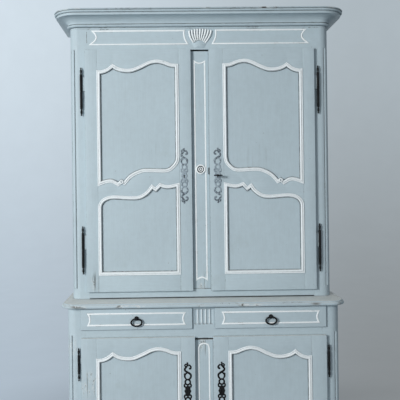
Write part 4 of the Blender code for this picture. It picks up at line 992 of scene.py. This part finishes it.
def corner_post(level, side, mirror):
    """A post with its outer front corner rounded and a stopped bead worked between two quirks."""
    low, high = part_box(f"{level}_post_left")
    bottom, top = POST_BEAD[level]
    middle = sum(QUIRK_TURNS) / 2
    half = (QUIRK_TURNS[1] - QUIRK_TURNS[0]) / 2 - QUIRK_REACH
    turns = set(range(-90, 1, 4)) | set(range(*QUIRK_TURNS, 2))
    turns = sorted(turns | {q + d * QUIRK_REACH for q in QUIRK_TURNS for d in (-1, -0.5, 0, 0.5, 1)})
    levels = [(low.z, 0), (bottom - BEAD_STOP, 0), (bottom, 1), (top, 1), (top + BEAD_STOP, 0), (high.z, 0)]
    rings = []
    for z, deep in levels:
        ring = [(high.x, low.y, z)]
        for turn in turns:
            near = min(abs(turn - q) for q in QUIRK_TURNS)
            radius = POST_ROUND - deep * QUIRK_DEEP * max(0.0, 1 - near / QUIRK_REACH)
            radius += deep * BEAD_PROUD * math.sqrt(max(0.0, 1 - ((turn - middle) / half) ** 2))
            angle = math.radians(turn)
            x = low.x + POST_ROUND - radius * math.cos(angle)
            ring.append((x, low.y + POST_ROUND + radius * math.sin(angle), z))
        rings.append(ring + [(low.x, high.y, z), (high.x, high.y, z)])
    form = Form()
    form.loft(rings)
    form.piece(f"{level}_corner_post_{side}", [UPRIGHT_PAINT], [f"{level}_post_{side}"], mirror, 30)


def plan_path(half, front, bend, back):
    """From the back left corner round the front to the back right one."""
    right = arc((half - bend, front + bend), bend, -90, 0, 18) + [Vector((half, back))]
    return [Vector((-p.x, p.y)) for p in right[::-1]] + right


def cornice():
    """The cornice moulding carried round the rounded posts, a roof board and two corner blocks behind it."""
    low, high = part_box("cornice")
    post_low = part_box("upper_post_left")[0]
    half = -post_low.x
    outer = joined(chained(CORNICE, CORNICE_PITCH))
    section = [(CORNICE_BACK, low.z)] + [(-p.x, p.y + low.z) for p in outer] + [(CORNICE_BACK, high.z)]
    form = Form()
    path = plan_path(half, post_low.y, POST_ROUND, high.y)
    form.sweep(path, section, on_plan, False, [0] * (len(section) - 2) + [1, 1])
    roof_z = high.z - ROOF_DOWN
    form.box((ROOF_IN - half, half - ROOF_IN), (post_low.y + ROOF_IN, high.y - 0.001),
             (roof_z - ROOF_THICK, roof_z), 0.001, 1)
    block_y = [high.y - gap for gap in ROOF_BLOCK_Y]
    block_z = (low.z + 0.0005, roof_z - ROOF_THICK - 0.001)
    for way in (-1, 1):
        form.box(sorted(way * (half - gap) for gap in ROOF_BLOCK_X), block_y, block_z, 0.001, 1)
    form.piece("cornice_and_roof", [LEDGE_PAINT, LEVEL_PAINT], ["cornice"], sharp=30)


def buffet_top():
    """The moulded board on the lower case."""
    low, high = TOP_BOARD
    scale = (high.z - low.z) / TOP_EDGE[-1][1]
    outline = plan_path(high.x, low.y, TOP_ROUND, high.y)
    form = Form()
    form.stack(outline, [(gap, low.z + rise * scale) for gap, rise in TOP_EDGE], on_plan)
    form.piece("buffet_top_board", [LEDGE_PAINT], ["buffet_top"], sharp=30)


def line_round(form, loop, ground):
    """The small white line round a loop."""
    form.sweep(anticlockwise(loop), [(u, h - ground) for u, h in LINE], on_front, True, 1)


def frieze():
    """The frieze rail with its two lined panels and the carved shell between them."""
    low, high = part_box("frieze_rail")
    face = CASE_FACE["upper"]
    shown = low.z + SLOT_UP["upper"]
    line_low = shown + FRIEZE_LINE_IN[0]
    line_high = high.z - FRIEZE_LINE_IN[1]
    form = Form()
    form.slab(rectangle(low.x - SEAT, high.x + SEAT, shown, high.z), -high.y, -face, 0.001, 0.0, on_front)
    x_low, x_high = FRIEZE_LINE_X
    outer = bowed((x_low, line_low), (x_high, line_high), (-FRIEZE_LINE_BOW, 0.0), 24)
    for way in (-1, 1):
        reach = SHELL_REACH + 0.004 * way
        inner = smooth_run([(reach - 0.0015, line_high), (reach, line_high - 0.018),
                            (reach - 0.005, line_high - 0.042), (reach - 0.0175, line_low)])
        line_round(form, [Vector((way * p.x, p.y)) for p in inner + outer], face)
    shell(form, face, shown)
    form.piece("frieze_rail_and_shell", [LEVEL_PAINT, THIN_WHITE], ["frieze_rail"], sharp=32)


def shell(form, face, shown):
    """A carved shell: nine white ribs fanning up from a smooth, lobed heel."""
    ribs = 9
    foot, tip = 0.030, 0.060
    bottom, tall = shown + 0.044, 0.054
    droop, dip, point, aside = 0.010, 0.016, 0.004, 0.005
    valley, rib_high, heel_high, rim = 0.0008, 0.0090, 0.0075, -0.001
    heel_wide, heel_tall, heel_up = 0.035, 0.0195, 0.0235

    def crest(u):
        return abs(math.sin(math.pi * ribs * u)) ** 0.6

    def fan(u, v):
        lean = 2 * u - 1
        half = foot + (tip - foot) * math.sin(math.pi / 2 * v) ** 0.9
        rise = (tall - droop * lean * lean) * v + point * crest(u) * v**4 - dip * (1 - v) * lean * lean
        lift = valley + rib_high * crest(u) * math.sin(math.pi * (0.12 + 0.50 * v))
        if u in (0.0, 1.0) or v in (0.0, 1.0):
            lift = rim
        return (lean * half + aside * v, face - lift, bottom + rise)

    def heel(u, v):
        turn = 2 * math.pi * u
        reach = v * (1 + 0.10 * math.cos(5 * turn - math.pi / 2))
        lift = heel_high * (1 - v * v) if v < 1 else rim
        rise = heel_up + heel_tall * reach * math.sin(turn)
        return (heel_wide * reach * math.cos(turn), face - lift, shown + rise)

    form.carved(ribs * 12, 26, fan, lambda u: 1 if crest(u) > 0.62 else 0)
    form.carved(60, 12, heel, lambda u: 0)


def centre_post(level):
    """The fixed post between two doors, with a white line on its front and a slot over it whose back is
    painted black as painted shade.
    """
    low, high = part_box(f"{level}_centre_post")
    face = CASE_FACE[level] + CENTRE_IN
    roof = high.z + SLOT_UP[level]
    top = roof - SLOT_TALL
    split = high.x - BOLT_POCKET if level == "upper" else high.x
    form = Form()
    if level == "upper":
        bolt_pocket(form, (split, high.x), (face, high.y), (low.z, top))
    form.slab(rectangle(low.x, split, low.z, top), -high.y, -face, 0.0, 0.0008, on_front)
    # The back of the slot takes the black iron paint, as painted shade
    form.box((low.x, high.x), (face + SLOT_DEEP, high.y), (top - 0.001, roof), 0.0005, 2)
    half, line_low, line_high = CENTRE_LINE[level]
    foot_bow, top_bow, arch = 0.011, -0.010, 0.020
    loop = bowed((-half, line_low), (half, line_low), (0.0, foot_bow), 12)
    if level == "upper":
        loop += bowed((half, line_high), (-half, line_high), (0.0, top_bow), 12)
    else:
        loop += bowed((half, line_high - arch), (-half, line_high - arch), (0.0, arch), 12, round_bow)
    line_round(form, loop, face)
    if level == "upper":
        rosette(form, face)
        keeper_x = high.x - KEEPER_IN
        keeper_z = [LOCK_Z + up for up in KEEPER_UP]
        form.box((keeper_x, keeper_x + KEEPER_WIDE), (face - 0.0016, face + 0.001), keeper_z, 0.0004, 2)
    form.piece(f"{level}_centre_post_with_line", [UPRIGHT_PAINT, THIN_WHITE, IRON],
               [f"{level}_centre_post"], sharp=34)


def bolt_pocket(form, x, y, z):
    """The lock side of the upper centre post, built round the pocket that takes the bolt."""
    low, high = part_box("lock_bolt")
    deep = (low.y - BOLT_GAP, high.y + BOLT_GAP)
    tall = (low.z - BOLT_GAP, high.z + BOLT_GAP)
    walls = [(y, (z[0], tall[0])), (y, (tall[1], z[1])), ((y[0], deep[0]), tall), ((deep[1], y[1]), tall)]
    for wall_y, wall_z in walls:
        form.box(x, wall_y, wall_z, 0.0004)


def rosette(form, face):
    """A turned rosette: a white button, ring and rim, with the hollows between them painted black as painted
    shade.
    """
    runs = chained([
        [(0.0, 0.0074), (0.0030, 0.0068), (0.0046, 0.0040)],
        [(0.0058, 0.0010), (0.0074, 0.0012)],
        [(0.0088, 0.0042), (0.0110, 0.0046), (0.0124, 0.0026)],
        [(0.0140, 0.0004), (0.0160, 0.0008)],
        [(0.0182, 0.0066), (0.0212, 0.0070), (0.0236, 0.0044), (0.0245, 0.0008)],
        [(0.0245, -0.001)],
    ], FINE_PITCH)
    paints = []
    # The hollows take the third, black paint, as painted shade
    for run, paint in zip(runs, (1, 2, 1, 2, 1, 0)):
        paints += [paint] * (len(run) - 1)
    form.lathe(joined(runs), 44, facing_front(0.0, face, ROSETTE_Z), paints)


def drawer_front(side, mirror):
    """A lipped drawer front with a white line whose ends curve in."""
    low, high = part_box("drawer_front_left")
    face = CASE_FACE["lower"]
    form = Form()
    lip = rectangle(low.x, high.x, low.z, high.z)
    form.slab(lip, SEAT - face, -DRAWER_FRONT, 0.0006, 0.0030, on_front, 0, 4)
    inner = rectangle(low.x + DRAWER_BODY_X[0], high.x - DRAWER_BODY_X[1],
                      low.z + DRAWER_BODY_Z[0], high.z - DRAWER_BODY_Z[1])
    form.slab(inner, -high.y, -face, 0.0006, 0.0, on_front)
    x0, x1 = low.x + DRAWER_LINE_X, high.x - DRAWER_LINE_X
    z0, z1 = low.z + DRAWER_LINE_Z[0], high.z - DRAWER_LINE_Z[1]
    loop = bowed((x1, z0), (x1, z1), (-DRAWER_LINE_BOW, 0.0), 16)
    loop += bowed((x0, z1), (x0, z0), (DRAWER_LINE_BOW, 0.0), 16)
    line_round(form, loop, DRAWER_FRONT)
    form.piece(f"drawer_front_{side}_with_line", [LEVEL_PAINT, THIN_WHITE],
               [f"drawer_front_{side}"], mirror, 34, f"drawer_{side}")


def flute_ridges():
    """White paint on the ridges between the flutes of the block that parts the drawers."""
    low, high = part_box("drawer_front_left")
    pitch = FLUTE_PITCH * -high.x
    wide, tall = FLUTE_LINE
    section = [(wide * u, tall * h - CASE_FACE["lower"]) for u, h in LINE]
    form = Form()
    ends = (low.z + FLUTE_IN[0], TOP_BOARD[0].z - FLUTE_IN[1])
    for i in (-1.5, -0.5, 0.5, 1.5):
        form.sweep([Vector((i * pitch, end)) for end in ends], section, on_front, False)
    form.piece("fluted_block_ridges", [THIN_WHITE])


def pull(side, mirror):
    """A turned knob on a round plate, and the ring that hangs through it."""
    low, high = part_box("pull_post_left")
    ring_low, ring_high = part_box("pull_ring_left")
    x = (low.x + high.x) / 2
    ring_y = (ring_low.y + ring_high.y) / 2
    out = DRAWER_FRONT - ring_y
    section = joined(chained([
        [(0.0, out + 0.0078), (0.0030, out + 0.0072), (0.0062, out + 0.0042), (0.0073, out),
         (0.0060, out - 0.0044), (0.0040, 0.0050)],
        [(0.0052, 0.0040), (0.0078, 0.0036), (0.0098, 0.0026)],
        [(0.0106, 0.0014), (0.0106, 0.0002)],
    ], FINE_PITCH))
    knob = Form()
    knob.lathe(section, TURN_STEPS, facing_front(x, DRAWER_FRONT, (low.z + high.z) / 2))
    knob.piece(f"pull_knob_{side}", [IRON], [f"pull_post_{side}"], mirror,
               body=f"drawer_{side}", slot="black_iron")
    half_wide = RING_SHARE * ((ring_high.x - ring_low.x) / 2 - RING_R)
    half_tall = RING_SHARE * ((ring_high.z - ring_low.z) / 2 - RING_R)
    path = oval(x, ring_high.z - RING_R - half_tall, half_wide, half_tall, 56)
    hoop = Form()
    hoop.sweep(path, oval(0.0, -ring_y, RING_SHOWN_R, RING_SHOWN_R, 12), on_front, True)
    hoop.piece(f"pull_hoop_{side}", [IRON], [f"pull_ring_{side}"], mirror,
               body=f"ring_{side}", slot="black_iron")


def domed(wide, ground):
    """Section of a strand of iron with a rounded face, lying on the ground plane."""
    half = [(wide, 0.0), (wide, 0.30 * STRAND_THICK), (0.62 * wide, 0.80 * STRAND_THICK)]
    full = half + [(0.0, STRAND_THICK)] + [(-u, h) for u, h in half[::-1]]
    return [(u, h - ground) for u, h in full]


def escutcheon(level, side, mirror):
    """A pierced plate: a keyhole boss, then an oval loop and crossing tendrils above and below it."""
    low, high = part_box(f"{level}_escutcheon_left")
    x = (low.x + high.x) / 2
    z = (low.z + high.z) / 2
    ground = high.y
    form = Form()
    for flip in (1, -1):
        for half, knots in STRANDS:
            path = smooth_run([(x - a / 1000, z + flip * b / 1000) for a, b in knots], STRAND_PITCH)
            widths = [half / 1000 * (0.70 + 0.40 * soft_bow(i / (len(path) - 1))) for i in range(len(path))]
            form.sweep_each(path, [domed(width, ground) for width in widths], on_front, False)
        for a, b, radius in BUDS:
            turned = [(share * radius / 1000, h) for share, h in BUD_DOME]
            form.lathe(turned, 16, facing_front(x - a / 1000, ground, z + flip * b / 1000))
        eye = oval(x, z + flip * EYE_AT, EYE_HALF_WIDE, flip * EYE_HALF_TALL, 40)
        form.sweep(eye, domed(EYE_STRAND, ground), on_front, True)
    boss(form, x, z, ground)
    finish = PAINTED_IRON if level == "upper" else IRON
    slot = "painted_iron" if level == "upper" else "black_iron"
    form.piece(f"{level}_scutcheon_{side}", [finish, IRON], [f"{level}_escutcheon_{side}"], mirror,
               body=f"{level}_door_{side}", slot=slot)


def boss(form, x, z, ground):
    """The scalloped middle of an escutcheon, with a raised rim round its keyhole, which a black sheet closes
    as painted shade.
    """
    middle = Vector((x, z))
    lobes, lobe_deep = 8, 0.11
    outline = []
    for i, spot in enumerate(oval(0.0, 0.0, BOSS_HALF_WIDE, BOSS_HALF_TALL, BOSS_STEPS)):
        outline.append(middle + spot * (1 + lobe_deep * math.cos(2 * math.pi * lobes * i / BOSS_STEPS)))
    hole = keyhole(middle)
    rings = []
    for share, height in BOSS:
        ring = [outer.lerp(inner, share) for outer, inner in zip(outline, hole)]
        rings.append([on_front(point.x, point.y, height - ground) for point in ring])
    form.loft(rings, caps=False)
    # A black sheet at the back of the boss closes the keyhole, as painted shade of the hole
    start = len(form.points)
    form.points += [on_front(point.x, point.y, 0.0003 - ground) for point in hole]
    form.cover([tuple(range(start, start + BOSS_STEPS))], 1)


def keyhole(middle):
    """Points round a keyhole, at even turns: a round hole with a straight-sided slot under it."""
    radius, slot_down, slot_half, slot_from = 0.0036, 0.0105, 0.0021, -0.55
    made = []
    for way in oval(0.0, 0.0, 1.0, 1.0, BOSS_STEPS):
        reach = radius
        if way.y < slot_from:
            reach = min(slot_down / -way.y, slot_half / max(1e-6, abs(way.x)))
        made.append(middle + way * reach)
    return made


def key():
    """The key in the right upper door: a level oval bow, a shank with collars, and a bit."""
    low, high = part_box("key")
    plate_low, plate_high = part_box("upper_escutcheon_right")
    x = (plate_low.x + plate_high.x) / 2
    z = (plate_low.z + plate_high.z) / 2
    bow_y = low.y + BOW_WIRE + BOW_HALF_DEEP
    long = high.y - bow_y - 0.011
    form = Form()
    path = oval(x, bow_y, BOW_HALF_WIDE, BOW_HALF_DEEP, 40)
    form.sweep(path, oval(0.0, z, BOW_WIRE, BOW_WIRE_TALL, 10), on_plan, True)
    shank = KEY_SHANK + [(0.0030, long), (0.0, long)]
    start = Matrix.Translation((x, bow_y + SHANK_FROM, z))
    form.lathe(shank, 18, start @ Matrix.Rotation(-math.pi / 2, 4, "X"))
    form.box((x, x + BIT_LONG), [high.y - gap for gap in BIT_Y], (z - BIT_HALF, z + BIT_HALF), 0.0003)
    form.piece("key_with_bow", [IRON], ["key"], body="key", slot="black_iron")


def bare_inside(item, material, ways):
    """Bare wood on the faces of a painted piece that look one of these ways, into the case."""
    item.data.materials.append(material)
    for face in item.data.polygons:
        face.material_index = int(any(face.normal.dot(way) > 0.5 for way in ways))


def dress_frame():
    """Materials and softened edges for the frame's own pieces that show as they are."""
    wood = {
        "lower_side": UPRIGHT_PAINT, "upper_side": UPRIGHT_PAINT, "apron_rail": LEVEL_PAINT,
        "drawer_deck": LEVEL_PAINT, "upper_floor": LEVEL_PAINT, "lower_floor": BARE_LEVEL,
        "upper_shelf": BARE_LEVEL, "lower_back": BARE_UPRIGHT, "upper_back": BARE_UPRIGHT,
        "upper_door_tall_panel": UPRIGHT_PAINT, "upper_door_short_panel": UPRIGHT_PAINT,
        "lower_door_panel": UPRIGHT_PAINT, "drawer_box": BARE_DEEP, "lock_bolt": IRON,
    }
    up = Vector((0.0, 0.0, 1.0))
    right = Vector((1.0, 0.0, 0.0))
    for name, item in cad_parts.items():
        if item.hide_render:
            continue
        stem = name.removesuffix("_left").removesuffix("_right")
        item.data.materials.clear()
        item.data.materials.append(wood[stem])
        if stem in ("lower_side", "upper_side"):
            bare_inside(item, BARE_UPRIGHT, [right if name.endswith("left") else -right])
        if stem in ("drawer_deck", "upper_floor"):
            bare_inside(item, BARE_LEVEL, [up, -up])
        weld = item.modifiers.new("weld", "WELD")
        weld.merge_threshold = 0.00002
        soft = item.modifiers.new("soft_edges", "BEVEL")
        soft.width = 0.0012
        soft.segments = 2
        soft.limit_method = "ANGLE"
        soft.angle_limit = math.radians(50)


def make_pieces():
    """Every piece. Paired ones are drawn for the left-hand side and mirrored for the right-hand one."""
    for side, mirror in (("left", False), ("right", True)):
        for level in ("upper", "lower"):
            door(level, side, mirror)
            corner_post(level, side, mirror)
            escutcheon(level, side, mirror)
            for at in ("top", "bottom"):
                hinge(level, at, side, mirror)
        drawer_front(side, mirror)
        pull(side, mirror)
    cornice()
    buffet_top()
    frieze()
    flute_ridges()
    centre_post("upper")
    centre_post("lower")
    key()
    dress_frame()


def backdrop_paint():
    """Matt studio paper, pale on the floor, and behind the piece painted light: lighter and bluer at the
    upper left, darker to the right and down.

    Seen by the camera it mostly shines with this painted light instead of taking the lamps' light. Near the
    piece it also takes light and shadow.
    """
    made = Shader("studio_paper")
    x, y, z = made.axes()
    eye_away, eye_up = 3.6, 1.43
    away = made.math("ADD", made.math("MAXIMUM", y, 0.0), eye_away)
    across = made.between(made.math("DIVIDE", x, away), -0.30, 0.30)
    up = made.between(made.math("DIVIDE", made.math("SUBTRACT", z, eye_up), away), -0.34, 0.30)
    # Painted light: lighter at the left and higher up, darker at the right and lower down
    low = made.mix(across, srgb(174, 188, 201), srgb(136, 141, 144))
    high = made.mix(across, srgb(212, 225, 235), srgb(173, 184, 191))
    colour = made.mix(up, low, high)
    colour = made.mix(made.between(y, 1.3, -0.6), colour, PAPER)
    fibre = made.noise(3.0, detail=6.0, rough=0.6)
    colour = made.tone(colour, made.between(fibre, 0.3, 0.7, 0.99, 1.01))
    made.colour = made.tone(colour, 0.62)
    made.finish(made.between(fibre, 0.3, 0.7, 0.85, 0.95), 0.1)
    # Camera and mirror rays see the paper shining with this painted light
    painted_light_glow = made.add("ShaderNodeEmission", {"Color": colour})["Emission"]
    share = made.times(made.seen(), made.between(made.length(x, y), 0.7, 2.2, 0.50, 1.0))
    choice = made.add("ShaderNodeMixShader", {"Fac": share, 1: made.surface.outputs["BSDF"], 2: painted_light_glow})
    made.feed(made.tree.nodes["Material Output"], {"Surface": choice["Shader"]})
    return made.material


def soft_lamp(name, place, size, energy):
    """A square soft light aimed at the middle of the piece."""
    lamp = bpy.data.lights.new(name, "AREA")
    lamp.size = size
    lamp.energy = energy
    lamp.color = (1.0, 0.992, 0.980)
    made = add_object(name, lamp)
    made.location = place
    aim = Vector((0.0, -0.2, 1.3)) - made.location
    made.rotation_euler = aim.to_track_quat("-Z", "Y").to_euler()


def studio():
    """A floor that sweeps up into a wall behind the piece, soft lights left and back, and a pale sky."""
    wide, near, far, bend, tall = 90.0, -90.0, 6.2, 3.0, 14.0
    profile = [Vector((near, 0.0))] + arc((far, bend), bend, -90, 0, 24) + [Vector((far + bend, tall))]
    form = Form()
    form.loft([[(x, p.x, p.y) for p in profile] for x in (-wide, wide)], ring_closed=False, caps=False)
    sweep = add_object("studio_sweep", form.mesh("studio_sweep", [backdrop_paint()]))
    soft_lamp("soft_left", (-3.6, -4.3, 2.5), 1.2, 229.0)
    soft_lamp("soft_back", (0.0, 5.4, 1.2), 2.0, 150.0)
    world = bpy.data.worlds.new("pale_sky")
    bpy.context.scene.world = world
    sky = Shader("pale_sky", world)
    seen = sky.seen()
    colour = sky.mix(seen, (0.95, 0.975, 1.0, 1.0), PAPER)
    sky.feed(sky.surface, {"Color": colour, "Strength": sky.between(seen, 0.0, 1.0, 0.34, 1.0)})


def camera():
    """The photograph's view: nearly square on, from a little left of the middle, at lock height."""
    lens = bpy.data.cameras.new("camera")
    lens.sensor_width = 36.0
    lens.lens = LENS
    lens.shift_x, lens.shift_y = LENS_SHIFT
    made = add_object("camera", lens)
    level = Matrix.Rotation(CAMERA_TURN, 4, "Z") @ Matrix.Rotation(math.pi / 2, 4, "X")
    made.matrix_world = Matrix.Translation(CAMERA_AT) @ level @ Matrix.Rotation(CAMERA_ROLL, 4, "Z")
    bpy.context.scene.camera = made


make_pieces()
studio()
camera()
bpy.context.scene.view_settings.view_transform = "Standard"
